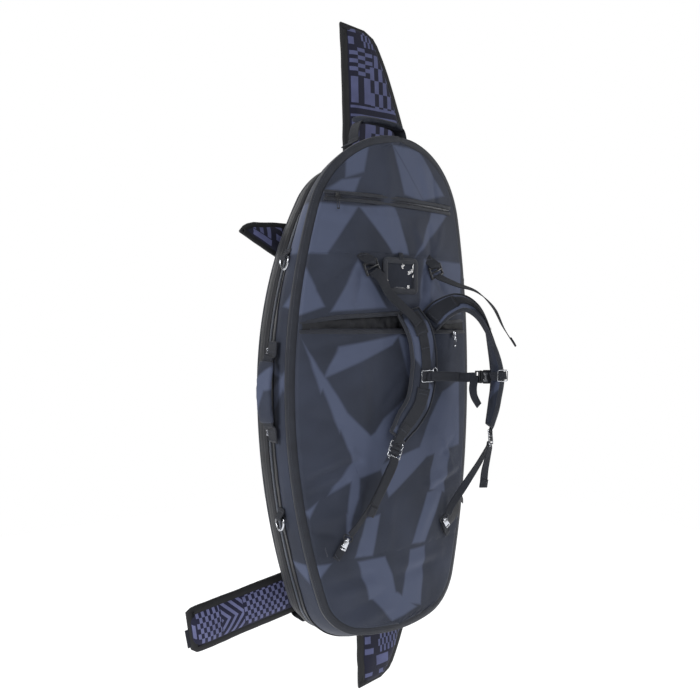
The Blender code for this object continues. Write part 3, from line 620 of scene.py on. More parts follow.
def round_edge(name, ring, depth_at, section, finish, body, replaced):
    """A tape folded round an edge. section gives how far out and how deep each of its lines runs."""
    rows = []
    lines = [grown(ring, out) for out, _ in section]
    for i in range(len(ring)):
        rows.append([Vector((lines[j][i].x, depth_at(lines[j][i].x) + deep, lines[j][i].y))
                     for j, (_, deep) in enumerate(section)])
    return piece(name, loft(name, rows, closed=True), finish, body, replaced)


def stitches(name, path, outs, finish, body, length=0.0034, gap=0.0016, width=0.0007):
    """Lockstitches lying on a surface: short thread loops, each a small rounded bar."""
    mesh = bpy.data.meshes.new(name)
    form = bmesh.new()
    marks = distances(path)
    start, k = gap / 2, 0
    while start + length < marks[-1]:
        ends = []
        for want in (start, start + length):
            while marks[k + 1] < want:
                k += 1
            ends.append((path[k].lerp(path[k + 1], (want - marks[k]) / (marks[k + 1] - marks[k])), outs[k]))
        (a, out), (b, _) = ends
        along = (b - a).normalized()
        side = along.cross(out).normalized() * width / 2
        rows = []
        for t, size in ((0.0, 0.35), (0.3, 1.0), (0.7, 1.0), (1.0, 0.35)):
            middle = a.lerp(b, t)
            rows.append([form.verts.new(middle + way) for way in
                         (-side * size, out * width * 0.7 * size, side * size)])
        for here, there in zip(rows, rows[1:]):
            form.faces.new((here[0], there[0], there[1], here[1]))
            form.faces.new((here[1], there[1], there[2], here[2]))
        start += length + gap
    form.to_mesh(mesh)
    form.free()
    return piece(name, mesh, finish, body)


round_edge(
    "front_edge_tape", FRONT_RIM, bow,
    ((-0.0172, 0.0015), (-0.0176, -0.0004), (-0.0168, -0.0022), (-0.0155, -0.0019), (-0.014, -0.0027),
     (-0.008, -0.0034), (-0.003, -0.0029), (-0.0022, -0.0022), (-0.001, -0.0024), (0.0004, -0.001),
     (0.001, 0.0012), (0.001, 0.0048), (0.0002, 0.0068), (-0.0015, 0.0078), (-0.004, 0.008)),
    grosgrain, "lid", ("front_binding",))
back_edge_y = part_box("back_binding")[0].y
round_edge(
    "back_edge_tape", ZIP_RIM, lambda x: back_edge_y,
    ((-0.003, 0.0), (-0.001, -0.0002), (0.0, 0.0012), (0.0002, 0.005), (-0.0006, 0.0072), (-0.0022, 0.0082),
     (-0.006, 0.0086), (-0.0108, 0.008), (-0.012, 0.0068), (-0.0122, 0.005)),
    grosgrain, "root", ("back_binding",))
for label, grow, proud in (("inner", -0.0155, 0.0021), ("outer", -0.0022, 0.0024)):
    ring = grown(FRONT_RIM, grow)
    ring.append(ring[0])
    stitches(f"front_tape_stitching_{label}", [Vector((p.x, bow(p.x) - proud, p.y)) for p in ring],
             [Vector((0, -1, 0))] * len(ring), thread, "lid")


def sealed(mesh, capped=True):
    """Welds a lofted mesh along its seam, closes its ends and turns its faces outwards."""
    form = bmesh.new()
    form.from_mesh(mesh)
    bmesh.ops.remove_doubles(form, verts=form.verts, dist=0.00001)
    if capped:
        bmesh.ops.holes_fill(form, edges=[e for e in form.edges if e.is_boundary], sides=0)
    bmesh.ops.recalc_face_normals(form, faces=form.faces)
    form.to_mesh(mesh)
    form.free()
    return mesh


def sweep(name, path, outs, section, closed=False, taper=None):
    """Carries a closed section along a path. section lists (across, out); taper(t) scales it."""
    rows, marks = [], []
    run = 0.0
    for i, point in enumerate(path):
        ahead = path[(i + 1) % len(path)] if closed or i + 1 < len(path) else path[i]
        behind = path[i - 1] if closed or i else path[i]
        run += (point - behind).length if i else 0.0
        heading = (ahead - behind).normalized()
        across = heading.cross(outs[i]).normalized()
        out = across.cross(heading).normalized()
        grow = taper(i / max(len(path) - 1, 1)) if taper else (1.0, 1.0)
        row = [point + across * (a * grow[0]) + out * (b * grow[1]) for a, b in section]
        rows.append(row + [row[0]])
        marks.append([(a * grow[0], run) for a, _ in section] + [(section[0][0] * grow[0], run)])
    return sealed(loft(name, rows, marks, closed=closed), not closed)


def strip(name, path, outs, section, finish, body, replaced=(), closed=False, taper=None):
    """A swept section as a piece. outs is one facing for the whole path or a list with one a point."""
    facing = outs if isinstance(outs, list) else [outs] * len(path)
    mesh = sweep(name, path, facing, section, closed, taper)
    return piece(name, mesh, finish, body, replaced)


def flat_section(width, thickness):
    """Section of a woven band, its edges a little rounded."""
    w, t, c = width / 2, thickness / 2, min(thickness * 0.45, width * 0.1)
    near = w - 3.0 * c
    return [(-w, -t + c), (-w, t - c), (-w + c, t), (-near, t), (0.0, t * 1.03), (near, t), (w - c, t),
            (w, t - c),
            (w, -t + c), (w - c, -t), (near, -t), (0.0, -t * 1.03), (-near, -t), (-w + c, -t)]


def front_line(x_from, x_to, z_at, proud, steps=60):
    """A line that follows the bowed front from side to side."""
    line = []
    for i in range(steps + 1):
        x = x_from + (x_to - x_from) * i / steps
        line.append(Vector((x, bow(x) - proud(x), FOOT_Z + z_at(x))))
    return line


OUT = Vector((0, -1, 0))
hem_wide = half_width(0.664, PANEL_INSET) - 0.001
hem = front_line(-hem_wide, hem_wide, lambda x: yoke_hem(x) + 0.002,
                 lambda x: 0.009 * (1 - (x / hem_wide) ** 4) + 0.0022 + slack(x, yoke_hem(x)), 90)
strip("yoke_hem_tape", hem, OUT, flat_section(0.009, 0.003), grosgrain, "lid")


# Gusset --------------------------------------------------------------------------------------
# The lid's side wall is a band of printed cloth with a black storm flap over the zip. The back's
# wall is plain black cloth. Both pull in and out a little between their seams.

# Almost black, with a faint cloudy wear and the same weave as the printed cloth.
black_cloth = mottled(new_finish("black_polyester_oxford", 0.6, Sheen_Weight=0.08), "#0c0d11", "#1f222a",
                      22.0,
                      4.0, 0.0003, 0.4, THREAD_PITCH)

GUSSET_FRONT = 0.008
ZIP_Y = at(0, -0.012, 0).y
BACK_WALL_Y = (at(0, 0.0105, 0).y, back_edge_y + 0.001)


def wall(name, near, far, depth_near, depth_far, share_from, share_to, bulge, proud, spans, finish, body,
         replaced=(), ruffle=0.0012, thickness=0.0016):
    """A band of the side wall. It runs from one outline to the other; shares say which part it is."""
    rows, marks = [], []
    run = 0.0
    near_ring, far_ring = grown(near, -0.0015), grown(far, -0.0015)
    out_ring = [a - b for a, b in zip(grown(near, 1.0), near)]
    for i, (first, last) in enumerate(zip(near_ring, far_ring)):
        start = depth_near(first.x)
        run += (first - near_ring[i - 1]).length if i else 0.0
        row, line = [], []
        for k in range(spans + 1):
            t = share_from + (share_to - share_from) * k / spans
            flat = first.lerp(last, t)
            depth = start + (depth_far - start) * t
            swell = bulge * math.sin(math.pi * t) + proud
            swell += ruffle * noise.noise(Vector((flat.x * 16, flat.y * 16, depth * 40)))
            swell += ruffle * 0.5 * noise.noise(Vector((flat.x * 50, flat.y * 50, depth * 20)))
            flat = flat + out_ring[i] * swell
            row.append(Vector((flat.x, depth, flat.y)))
            line.append((-0.222 + 0.7 * (depth - FRONT_Y), flat.y - FOOT_Z))
        rows.append(row)
        marks.append(line)
    made = piece(name, loft(name, rows, marks, closed=True), finish, body, replaced)
    return thicken(made, thickness, 0.0)


wall("gusset_cloth", FRONT_RIM, ZIP_RIM, lambda x: bow(x) + GUSSET_FRONT, ZIP_Y, 0.0, 1.0, 0.008, 0.0, 16,
     shell_cloth, "lid", ("front_gusset",))
wall("storm_flap", FRONT_RIM, ZIP_RIM, lambda x: bow(x) + GUSSET_FRONT, ZIP_Y, 0.6, 1.03, 0.008, 0.0022, 6,
     black_cloth, "lid", ruffle=0.0018)
wall("back_wall_cloth", ZIP_RIM, ZIP_RIM, lambda x: BACK_WALL_Y[0], BACK_WALL_Y[1], 0.0, 1.0, 0.003, 0.0, 6,
     black_cloth, "root", ("back_gusset",))
wall("back_storm_flap", ZIP_RIM, ZIP_RIM, lambda x: BACK_WALL_Y[0], BACK_WALL_Y[1], -0.05, 0.3, 0.003, 0.0022,
     4, black_cloth, "root", ruffle=0.001)


# Main zip ------------------------------------------------------------------------------------
# A number 8 coil zip runs round the bag between the hinge's ends. Its two tapes are woven black
# polyester and its grey nylon coil shows as a row of small interlocked teeth, 2.4 mm apart.

# Matt black tape with a ribbed weave, its rib crests painted lighter and grooves darker as painted light and
# shade, darker than the coil so that the teeth stand out.
zip_tape = ribbed(new_finish("woven_zip_tape", 0.7), 0.0022, "#0f1014", "#24262e", 0.0002, 0.3)
# Mid grey nylon with a small highlight on every tooth.
coil = new_finish("grey_nylon_coil", 0.34, Base_Color=linear("#6f747f"), Specular_IOR_Level=0.6)
HINGE_LOW, HINGE_HIGH = FOOT_Z + 0.27, FOOT_Z + 0.76


def open_run(ring):
    """The ring without the stretch that is sewn shut as the lid's hinge, on the right."""
    kept = [i for i, p in enumerate(ring) if not (p.x > 0 and HINGE_LOW < p.y < HINGE_HIGH)]
    start = next(k for k in range(1, len(kept)) if kept[k] - kept[k - 1] > 1)
    return kept[start:] + kept[:start]


def teeth(name, path, outs, ways, pitch, size, finish, body, half=0.0):
    """Coil turns along a path: each is a small chamfered block of size (along, across, proud)."""
    mesh = bpy.data.meshes.new(name)
    form = bmesh.new()
    run, k, want = 0.0, 0, pitch * (0.25 + half)
    marks = distances(path)
    while want < marks[-1]:
        while marks[k + 1] < want:
            k += 1
        middle = path[k].lerp(path[k + 1], (want - marks[k]) / (marks[k + 1] - marks[k]))
        along = (path[k + 1] - path[k]).normalized()
        out, way = outs[k], ways[k]
        low, high = [], []
        for sa, sc in ((-1, -1), (1, -1), (1, 1), (-1, 1)):
            foot = middle + along * (sa * size[0] / 2) + way * (sc * size[1] / 2)
            low.append(form.verts.new(foot))
            crown = middle + along * (sa * size[0] * 0.3) + way * (sc * size[1] * 0.36) + out * size[2]
            high.append(form.verts.new(crown))
        form.faces.new(high)
        for a in range(4):
            b = (a + 1) % 4
            form.faces.new((low[a], low[b], high[b], high[a]))
        want += pitch
    bmesh.ops.recalc_face_normals(form, faces=form.faces)
    form.to_mesh(mesh)
    form.free()
    return piece(name, mesh, finish, body)


RUN = open_run(ZIP_RIM)
rim_out = [b - a for a, b in zip(ZIP_RIM, grown(ZIP_RIM, 1.0))]
for side, body, near_y, far_y, tooth_y, half in (
        ("front", "lid", -0.0105, -0.0004, -0.0016, 0.0), ("back", "root", 0.0004, 0.0104, 0.0016, 0.5)):
    rows = []
    for i in RUN:
        point, way = ZIP_RIM[i], rim_out[i]
        rows.append([Vector((point.x - way.x * d, at(0, y, 0).y, point.y - way.y * d))
                     for y, d in ((near_y, 0.0012), ((near_y + far_y) / 2, 0.0006), (far_y, 0.001))])
    thicken(piece(f"main_zip_tape_{side}", loft(f"main_zip_tape_{side}", rows), zip_tape, body,
                  (f"main_zip_{side}_tape",)), 0.0012)
    path = [Vector((ZIP_RIM[i].x, at(0, tooth_y, 0).y, ZIP_RIM[i].y)) for i in RUN]
    outs = [Vector((rim_out[i].x, 0, rim_out[i].y)) for i in RUN]
    teeth(f"main_zip_coil_{side}", path, outs, [Vector((0, 1, 0))] * len(path), 0.0024,
          (0.0013, 0.004, 0.0022), coil, body, half)


# Hinge ---------------------------------------------------------------------------------------
# Half of the right side has no zip. A doubled band of the black wall cloth joins the lid to the back there,
# sewn to both;
# on the bag it is what bends when the lid opens, but here it is one still piece that rides on no body.

hinge_ring = [p for p in ZIP_RIM if p.x > 0 and HINGE_LOW - 0.006 < p.y < HINGE_HIGH + 0.006]
rows, marks = [], []
for point in sorted(hinge_ring, key=lambda p: p.y):
    i = ZIP_RIM.index(point)
    way = grown(ZIP_RIM, 1.0)[i] - point
    row, line = [], []
    for k in list(range(15)) + list(range(14, -1, -1)) + [0]:
        t = k / 14
        inner = 14 < len(row) < 30
        depth = -0.015 + 0.029 * t
        proud = 0.0006 + 0.0016 * math.sin(math.pi * t) + 0.0006 * noise.noise(Vector((t * 2, point.y * 40,
                                                                                       1.0)))
        proud -= 0.0016 if inner else 0.0
        row.append(Vector((point.x + way.x * proud, at(0, depth, 0).y, point.y + way.y * proud)))
        line.append((depth, point.y - FOOT_Z))
    rows.append(row)
    marks.append(line)
hinge_band = piece("hinge_band", loft("hinge_band", rows, marks), black_cloth, None)
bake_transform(hinge_band)


# Front zips ----------------------------------------------------------------------------------
# A number 5 coil zip with its welts closes the top pocket. The harness pocket's zip lies along its
# mouth under a ribbed tape, run open, with its slider parked at the right.

# Charcoal nylon, a shade lighter than its tape.
black_coil = new_finish("black_nylon_coil", 0.36, Base_Color=linear("#3a3d47"))
# Bright plating with cloudy patches that are less polished, like handled metal.
steel = mottled(new_finish("nickel_plated_steel", 0.22, 1.0), "#b9bcc4", "#dfe1e6", 420.0, 3.0, 0.00005, 0.2,
                printed=False)
steel_tree = steel.node_tree
steel_rough = add(steel_tree, "ShaderNodeMapRange",
                  [("Value", steel_tree.nodes["Noise Texture"].outputs[0])],
                  [("To Min", 0.12), ("To Max", 0.34)])
steel_tree.links.new(steel_rough, steel_tree.nodes["Principled BSDF"].inputs["Roughness"])

top_zip_z = 0.912
for label, z in (("upper", top_zip_z + 0.0065), ("lower", top_zip_z - 0.0065)):
    welt = front_line(-0.176, 0.16, lambda x: z, lambda x: 0.0042 + 0.0007 * math.sin(x * 60), 70)
    strip(f"top_zip_welt_{label}", welt, OUT,
          [(-0.0035, -0.0012), (-0.0038, 0.0006), (-0.0015, 0.002), (0.0018, 0.002), (0.0038, 0.0006),
           (0.0035, -0.0012)], grosgrain, "lid")
    run = front_line(-0.178, 0.162, lambda x: z + (0.005 if label == "upper" else -0.005),
                     lambda x: 0.0046, 80)
    stitches(f"top_zip_stitching_{label}", run, [OUT] * len(run), thread, "lid")
tape = front_line(-0.172, 0.157, lambda x: top_zip_z, lambda x: 0.0034, 70)
strip("top_zip_tape_cloth", tape, OUT, flat_section(0.0115, 0.001), zip_tape, "lid",
      ("top_zip_tape",))
for label, shift, half in (("upper", 0.0009, 0.0), ("lower", -0.0009, 0.5)):
    chain = front_line(-0.17, 0.155, lambda x: top_zip_z + shift, lambda x: 0.004, 80)
    teeth(f"top_zip_coil_{label}", chain, [OUT] * len(chain), [Vector((0, 0, 1))] * len(chain), 0.0022,
          (0.0012, 0.003, 0.0014), black_coil, "lid", half)

pocket_wide = half_width(MOUTH_Z - 0.006, PANEL_INSET)


def mouth_proud(x, z):
    """How far the harness pocket's cloth stands off the front."""
    u = x / pocket_wide
    v = (z - BASE_SEAM_Z) / (MOUTH_Z - BASE_SEAM_Z)
    return harness_pocket_lift(u, v) + slack(x, z) * (1 - u ** 12)


mouth_edge = front_line(-pocket_wide + 0.002, pocket_wide - 0.002, lambda x: MOUTH_Z - 0.003,
                        lambda x: mouth_proud(x, MOUTH_Z - 0.003) + 0.0008, 100)
strip("pocket_zip_band", mouth_edge, OUT,
      [(-0.0038, -0.001), (-0.004, 0.0008), (-0.0024, 0.0018), (-0.0008, 0.0012), (0.001, 0.0024),
       (0.003, 0.0022), (0.004, 0.0004), (0.0036, -0.0012)], grosgrain, "lid",
      ("pocket_zip_tape",))
chain = front_line(-0.205, 0.185, lambda x: MOUTH_Z + 0.0022,
                   lambda x: mouth_proud(x, MOUTH_Z - 0.004) - 0.001, 110)
teeth("pocket_zip_coil", chain, [Vector((0, -0.5, 0.86))] * len(chain), [Vector((0, 0.86, 0.5))] * len(chain),
      0.0024, (0.0013, 0.0034, 0.0014), black_coil, "lid")
upper_chain = front_line(-0.205, 0.185, lambda x: yoke_hem(x) - 0.0004,
                         lambda x: 0.0022 + slack(x, yoke_hem(x)) * 0.3, 110)
teeth("pocket_zip_coil_upper", upper_chain, [OUT] * len(upper_chain), [Vector((0, 0, 1))] * len(upper_chain),
      0.0024, (0.0013, 0.0034, 0.0014), black_coil, "lid", 0.5)


# Zip sliders ---------------------------------------------------------------------------------
# Each is a die-cast body with a raised bridge and a thin pull on it; the cord-end beads of the front ones
# are not drawn. Metal ones are nickel plated, the small one on the top pocket is painted black, drawn in
# black moulded acetal.

# Moulded black plastic with a satin face and a very fine grain.
acetal = mottled(new_finish("moulded_black_acetal", 0.34), "#121317", "#24262c", 700.0, 2.0, 0.00006, 0.25,
                 printed=False)


def rounded_block(form, size, place, turn, cut=0.25):
    """A chamfered block of size (x, y, z) added to a bmesh, turned and placed."""
    made = bmesh.ops.create_cube(form, size=1.0)["verts"]
    edges = {e for v in made for e in v.link_edges}
    bmesh.ops.scale(form, vec=size, verts=made)
    bevel = bmesh.ops.bevel(form, geom=list(edges), offset=min(size) * cut, segments=2, affect="EDGES",
                            profile=0.6)
    fresh = {v for f in bevel["faces"] for v in f.verts} | {v for v in made if v.is_valid}
    bmesh.ops.transform(form, matrix=Matrix.Translation(place) @ turn.to_4x4(), verts=list(fresh))


def square_to(out, up):
    """Turn whose z looks along out and whose y is as near up as can be."""
    out = Vector(out).normalized()
    across = Vector(up).cross(out).normalized()
    return Matrix((across, out.cross(across), out)).transposed()


def blocks(name, sizes, middle, turn, finish, body, replaced=(), cut=0.3):
    """Moulded or pressed part made of rounded blocks; sizes lists each block's size and place."""
    form = bmesh.new()
    for size, place in sizes:
        rounded_block(form, size, middle + turn @ Vector(place), turn, cut)
    mesh = bpy.data.meshes.new(name)
    form.to_mesh(mesh)
    form.free()
    for face in mesh.polygons:
        face.use_smooth = True
    return piece(name, mesh, finish, body, replaced)


def zip_slider(node, body, finish, out, up):
    """Slider body, bridge and pull, in place of the plain solid that stands for them."""
    low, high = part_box(node)
    turn = square_to(out, up)
    spot = (low + high) / 2 + turn @ Vector((0, 0.011, 0))
    return blocks(node + "_body",
                  [((0.0098, 0.0115, 0.0016), (0, 0, -0.001)), ((0.0088, 0.0105, 0.0014), (0, 0, 0.0012)),
                   ((0.003, 0.003, 0.003), (0, 0.0025, 0.0001)),
                   ((0.0032, 0.009, 0.0012), (0, 0, 0.003)), ((0.003, 0.0012, 0.0026), (0, 0.0045, 0.002)),
                   ((0.003, 0.0012, 0.0026), (0, -0.0045, 0.002)),
                   ((0.0062, 0.0034, 0.0012), (0, -0.0072, 0.0032)),
                   ((0.0012, 0.018, 0.0012), (-0.0024, -0.0165, 0.003)),
                   ((0.0012, 0.018, 0.0012), (0.0024, -0.0165, 0.003)),
                   ((0.006, 0.003, 0.0013), (0, -0.026, 0.003))],
                  spot, turn, finish, body, (node,), cut=0.25)


zip_slider("top_zip_slider", "top_zip_slider", acetal, (-0.22, -1, 0), (0, 0, 1))
zip_slider("pocket_zip_slider", "pocket_zip_slider", steel, (0.2, -1, 0), (0, 0, 1))
zip_slider("main_zip_slider_upper", "main_zip_slider_upper", steel, (-1, 0, 0.09), (0, 0, 1))
zip_slider("main_zip_slider_lower", "main_zip_slider_lower", steel, (-1, 0, -0.06), (0, 0, -1))


# Card window ---------------------------------------------------------------------------------
# A clear vinyl pocket for a name card hangs from a webbing loop between the lifters. Its sides are
# bound in black tape and the vinyl has relaxed into dents that catch the light.

frame_low, frame_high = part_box("card_window_frame")
window_middle = (frame_low + frame_high) / 2
window_y = frame_low.y
frame_x, frame_z = (frame_high.x - frame_low.x) / 2, (frame_high.z - frame_low.z) / 2
border = []
for k in range(4):
    corner = ((1, 1), (1, -1), (-1, -1), (-1, 1))[k]
    for step in range(6):
        angle = math.radians(90 - 90 * k - 18 * step)
        border.append(window_middle + Vector((corner[0] * (frame_x - 0.012) + 0.006 * math.cos(angle), 0,
                                              corner[1] * (frame_z - 0.012) + 0.006 * math.sin(angle))))
border = [p + Vector((0, window_y + 0.0006 - p.y, 0)) for p in border]
strip("card_window_tape", border, OUT,
      [(-0.006, -0.0014), (-0.0062, 0.0004), (-0.0046, 0.0013), (0.0, 0.0017), (0.0046, 0.0013),
       (0.0062, 0.0004), (0.006, -0.0014)], grosgrain, "lid", ("card_window_frame",),
      closed=True)
rows, marks = [], []
for i in range(33):
    row, line = [], []
    for j in range(33):
        u, v = j / 16 - 1, i / 16 - 1
        dent = 0.0026 * (1 - u * u) * (1 - v * v)
        dent += 0.0044 * noise.noise(Vector((u * 1.5 + 3, v * 1.1, 1.7))) * (1 - u ** 6) * (1 - v ** 6)
        dent += 0.0005 * noise.noise(Vector((u * 3.6, v * 2.4, 9.1))) * (1 - u ** 6) * (1 - v ** 6)
        row.append(window_middle + Vector((u * (frame_x - 0.01), 0, v * (frame_z - 0.01)))
                   + Vector((0, window_y - window_middle.y + 0.0006 - dent, 0)))
        line.append((u * 0.035, v * 0.03))
    rows.append(row)
    marks.append(line)
# Clear, glossy film over the dark cloth: its dents show as bright streaks.
vinyl = new_finish("clear_plasticised_vinyl", 0.06, Base_Color=linear("#2b2f3b"), Alpha=0.42,
                   Specular_IOR_Level=0.9, Coat_Weight=1.0, Coat_Roughness=0.03)
piece("card_window_sheet", loft("card_window_sheet", rows, marks), vinyl, "lid",
      ("card_window_vinyl",))


# Webbing -------------------------------------------------------------------------------------
# Polypropylene webbing from 16 to 40 mm wide, woven in a coarse twill whose ribs run along it. It is
# used for the handles, straps, tabs and loops and is sewn down with bar tacks.

# Black and matt; the slanted ribs read as fine lines along every strap because each crest is painted lighter
# and each groove darker, as painted light and shade. Real ribs are 1 mm apart.
webbing = new_finish("black_polypropylene_webbing", 0.66, Sheen_Weight=0.1, Specular_IOR_Level=0.24)
web_tree = webbing.node_tree
web_uv = add(web_tree, "ShaderNodeUVMap", uv_map="print")
web_x = add(web_tree, "ShaderNodeSeparateXYZ", [(0, web_uv)])
web_y = web_x.node.outputs[1]
across_turns = add(web_tree, "ShaderNodeMath", [(0, web_x)], [(1, 2 * math.pi / 0.0026)],
                   operation="MULTIPLY")
along_turns = add(web_tree, "ShaderNodeMath", [(0, web_y)], [(1, 2 * math.pi / 0.003)], operation="MULTIPLY")
both = add(web_tree, "ShaderNodeMath", [(0, across_turns), (1, along_turns)], operation="ADD")
ribs = add(web_tree, "ShaderNodeMath", [(0, across_turns)], operation="SINE")
twill = add(web_tree, "ShaderNodeMath", [(0, both)], operation="SINE")
web_height = add(web_tree, "ShaderNodeMath", [(0, ribs), (1, twill)], operation="ADD")
# Painted light and shade: the colour follows the ribs' height, lighter on crests and darker in grooves.
web_rib_painted_light = add(web_tree, "ShaderNodeMapRange", [("Value", web_height)],
                [("From Min", -2.0), ("From Max", 2.0), ("To Min", 0.0), ("To Max", 0.8)])
finish_surface(web_tree, join_tones(web_tree, web_rib_painted_light, linear("#13151b"), linear("#333742")), web_height,
               0.0004, 0.6)


def band(name, points, width, outs, body, replaced=(), steps=6, thickness=0.0019,
         finish=webbing,
         curl=0.0):
    """Webbing through points; outs is the way its face looks, once or for each point."""
    path = spline([Vector(p) for p in points], steps)
    facing = [Vector(o) for o in outs] if isinstance(outs, (list, tuple)) and isinstance(
        outs[0], (list, tuple, Vector)) else [Vector(outs)] * len(points)
    facing = [v.normalized() for v in spline(facing, steps)]
    section = flat_section(width, thickness)
    if curl:
        section = [(a, b - curl * (2 * a / width) ** 2) for a, b in section]
    return piece(name, sweep(name, path, facing, section), finish, body, replaced)


def bar_tacks(name, spots, body, length=0.02, rows=1):
    """Dense zigzag bars of thread: each spot is a middle, the way the bar runs and its facing."""
    form = bmesh.new()
    for middle, way, out in spots:
        turn = square_to(out, Vector(out).cross(Vector(way)))
        for k in range(rows):
            shift = (k - (rows - 1) / 2) * 0.0045
            for n in range(9):
                along = (n / 8 - 0.5) * length
                rounded_block(form, (0.0022, 0.001, 0.0009),
                              Vector(middle) + turn @ Vector((along, shift + 0.0006 * (-1) ** n, 0)), turn,
                              0.3)
    mesh = bpy.data.meshes.new(name)
    form.to_mesh(mesh)
    form.free()
    return piece(name, mesh, thread, body)


band("card_window_loop", [(0.0, window_y - 0.0004, frame_high.z - 0.004),
                          (0.0, window_y - 0.0012, frame_high.z + 0.004),
                          (0.0, window_y + 0.0012, FOOT_Z + 0.8055)], 0.011, OUT, "lid")


# Carrying handles ----------------------------------------------------------------------------
# The nose handle is 36 mm webbing in a padded sleeve of slate cloth. The side handle is a padded wrap
# of printed cloth. Their webbing bends where they swing and their feet are tacked to the walls.

# The same print in two tones so close that the sleeve looks plain.
slate_wrap = printed_cloth("slate_polyester_wrap", "#1b1f28", "#242833")
handle_low, handle_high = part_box("top_handle")
grip_z = (handle_high.z + (handle_high.z - 0.018)) / 2
handle_y = (handle_low.y + handle_high.y) / 2


def grip_section(width, thick, wobble, i):
    """A soft rounded box section for a padded wrap."""
    section = []
    for k in range(16):
        angle = 2 * math.pi * k / 16
        c, s = math.cos(angle), math.sin(angle)
        a = math.copysign(abs(c) ** 0.75, c) * width / 2
        b = math.copysign(abs(s) ** 0.75, s) * thick / 2
        ripple = 1 + wobble * noise.noise(Vector((k * 0.7, i * 0.35, 3.0)))
        section.append((a * ripple, b * ripple))
    return section


def wrap(name, path, outs, width, thick, finish, body, replaced, pinch=0.55, shift=(0.0, 0.0)):
    """A padded sleeve along a path, narrower where its ends are sewn shut."""
    rows, marks = [], []
    run = 0.0
    for i, point in enumerate(path):
        heading = (path[min(i + 1, len(path) - 1)] - path[max(i - 1, 0)]).normalized()
        across = heading.cross(outs[i]).normalized()
        out = across.cross(heading)
        run += (point - path[i - 1]).length if i else 0.0
        t = i / (len(path) - 1)
        soft = pinch + (1 - pinch) * min(1.0, math.sin(math.pi * t) * 3.0) ** 0.6
        section = grip_section(width * (0.85 + 0.15 * soft), thick * soft, 0.1, i)
        row = [point + across * a + out * b for a, b in section]
        rows.append(row + [row[0]])
        marks.append([(shift[0] + a, shift[1] + run) for a, _ in section + [section[0]]])
    mesh = sealed(loft(name, rows, marks))
    made = piece(name, mesh, finish, body, replaced)
    smoothed = made.modifiers.new("soft", "SUBSURF")
    smoothed.levels = smoothed.render_levels = 1
    return made


UP = Vector((0, 0, 1))
grip_path = spline([Vector((x, handle_y, grip_z + dz)) for x, dz in (
    (-0.058, -0.0065), (-0.042, -0.0008), (-0.015, 0.0012), (0.015, 0.001), (0.042, -0.0006),
                                                                     (0.058, -0.006))], 8)
wrap("top_handle_grip", grip_path, [Vector((0, -0.35, 1)).normalized()] * len(grip_path), 0.04, 0.015,
     slate_wrap,
     "top_handle", ("top_handle",), shift=(-0.02, 0.45))
foot_z = handle_low.z
strap = [(-0.0662, handle_y, foot_z + 0.005), (-0.066, handle_y, foot_z + 0.022),
         (-0.06, handle_y, grip_z - 0.014),
         (-0.05, handle_y, grip_z - 0.006), (-0.03, handle_y, grip_z - 0.002),
         (0.0, handle_y, grip_z - 0.001),
         (0.03, handle_y, grip_z - 0.002), (0.05, handle_y, grip_z - 0.006), (0.06, handle_y, grip_z - 0.014),
         (0.066, handle_y, foot_z + 0.022), (0.0662, handle_y, foot_z + 0.005)]
strap_out = [(-1, 0, 0.05), (-1, 0, 0.1), (-0.85, 0, 0.6), (-0.5, 0, 0.9), (-0.1, 0, 1), (0, 0, 1),
             (0.1, 0, 1),
             (0.5, 0, 0.9), (0.85, 0, 0.6), (1, 0, 0.1), (1, 0, 0.05)]
handle_web = band("top_handle_webbing", strap, 0.036, strap_out, None, steps=4)
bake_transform(handle_web)
for label, side in (("left", -1), ("right", 1)):
    base = Vector((side * 0.066, handle_y, foot_z + 0.004))
    band(f"top_handle_foot_{label}", [base + Vector((side * 0.019, 0.0, -0.0118)),
                                      base + Vector((side * 0.012, 0, -0.007)),
                                      base + Vector((side * 0.0025, 0, -0.002)),
                                      base + Vector((0, 0, 0.006))], 0.04,
         [(side * 0.45, 0, 1), (side * 0.6, 0, 1), (side * 0.9, 0, 0.7), (side, 0, 0.2)], "lid", steps=4,
         thickness=0.003)
    bar_tacks(f"top_handle_tacks_{label}", [(base + Vector((side * 0.017, 0, -0.0088)), (0, 1, 0),
                                             (side * 0.55, 0, 1)),
                                            (base + Vector((side * 0.012, 0, -0.0045)), (0, 1, 0),
                                             (side * 0.6, 0, 1))],
              "lid")

side_low, side_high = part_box("side_handle")
side_y = (side_low.y + side_high.y) / 2
mid_z = (side_low.z + side_high.z) / 2
bar_x = side_low.x + 0.009
side_path = spline([Vector((bar_x + dx, side_y, mid_z + dz)) for dx, dz in (
    (0.0065, 0.062), (0.002, 0.04), (-0.0005, 0.015), (-0.0005, -0.015), (0.002, -0.04), (0.0065, -0.062))],
                   8)
wrap("side_handle_grip", side_path, [Vector((-1, -0.25, 0)).normalized()] * len(side_path), 0.04, 0.015,
     shell_cloth, "side_handle", ("side_handle",), shift=(0.06, 0.33))
for label, up in (("upper", 1), ("lower", -1)):
    end = Vector((bar_x + 0.006, side_y, mid_z + up * 0.062))
    skin = Vector((-0.2555 if up > 0 else -0.256, side_y, mid_z + up * 0.084))
    handle_web = band(f"side_handle_web_{label}",
                      [end - Vector((0.001, 0, up * 0.012)), end + Vector((0.003, 0, up * 0.006)),
                       Vector((skin.x - 0.008, side_y, mid_z + up * 0.073))], 0.03,
                      (-1, -0.2, 0), None, steps=4, thickness=0.003)
    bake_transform(handle_web)
    rows = [(skin.x - 0.0062, up * 0.07), (skin.x - 0.0042, up * 0.078), (skin.x - 0.0022, up * 0.102)]
    band(f"side_handle_patch_{label}", [(x, side_y, mid_z + dz) for x, dz in rows], 0.034, (-1, 0, 0), "lid",
         steps=4,
         thickness=0.0026)
    bar_tacks(f"side_handle_tacks_{label}", [((skin.x - 0.005, side_y, mid_z + up * 0.08), (0, 1, 0),
                                              (-1, 0, 0)),
                                             ((skin.x - 0.004, side_y, mid_z + up * 0.098), (0, 1, 0),
                                              (-1, 0, 0))],
              "lid", length=0.026)


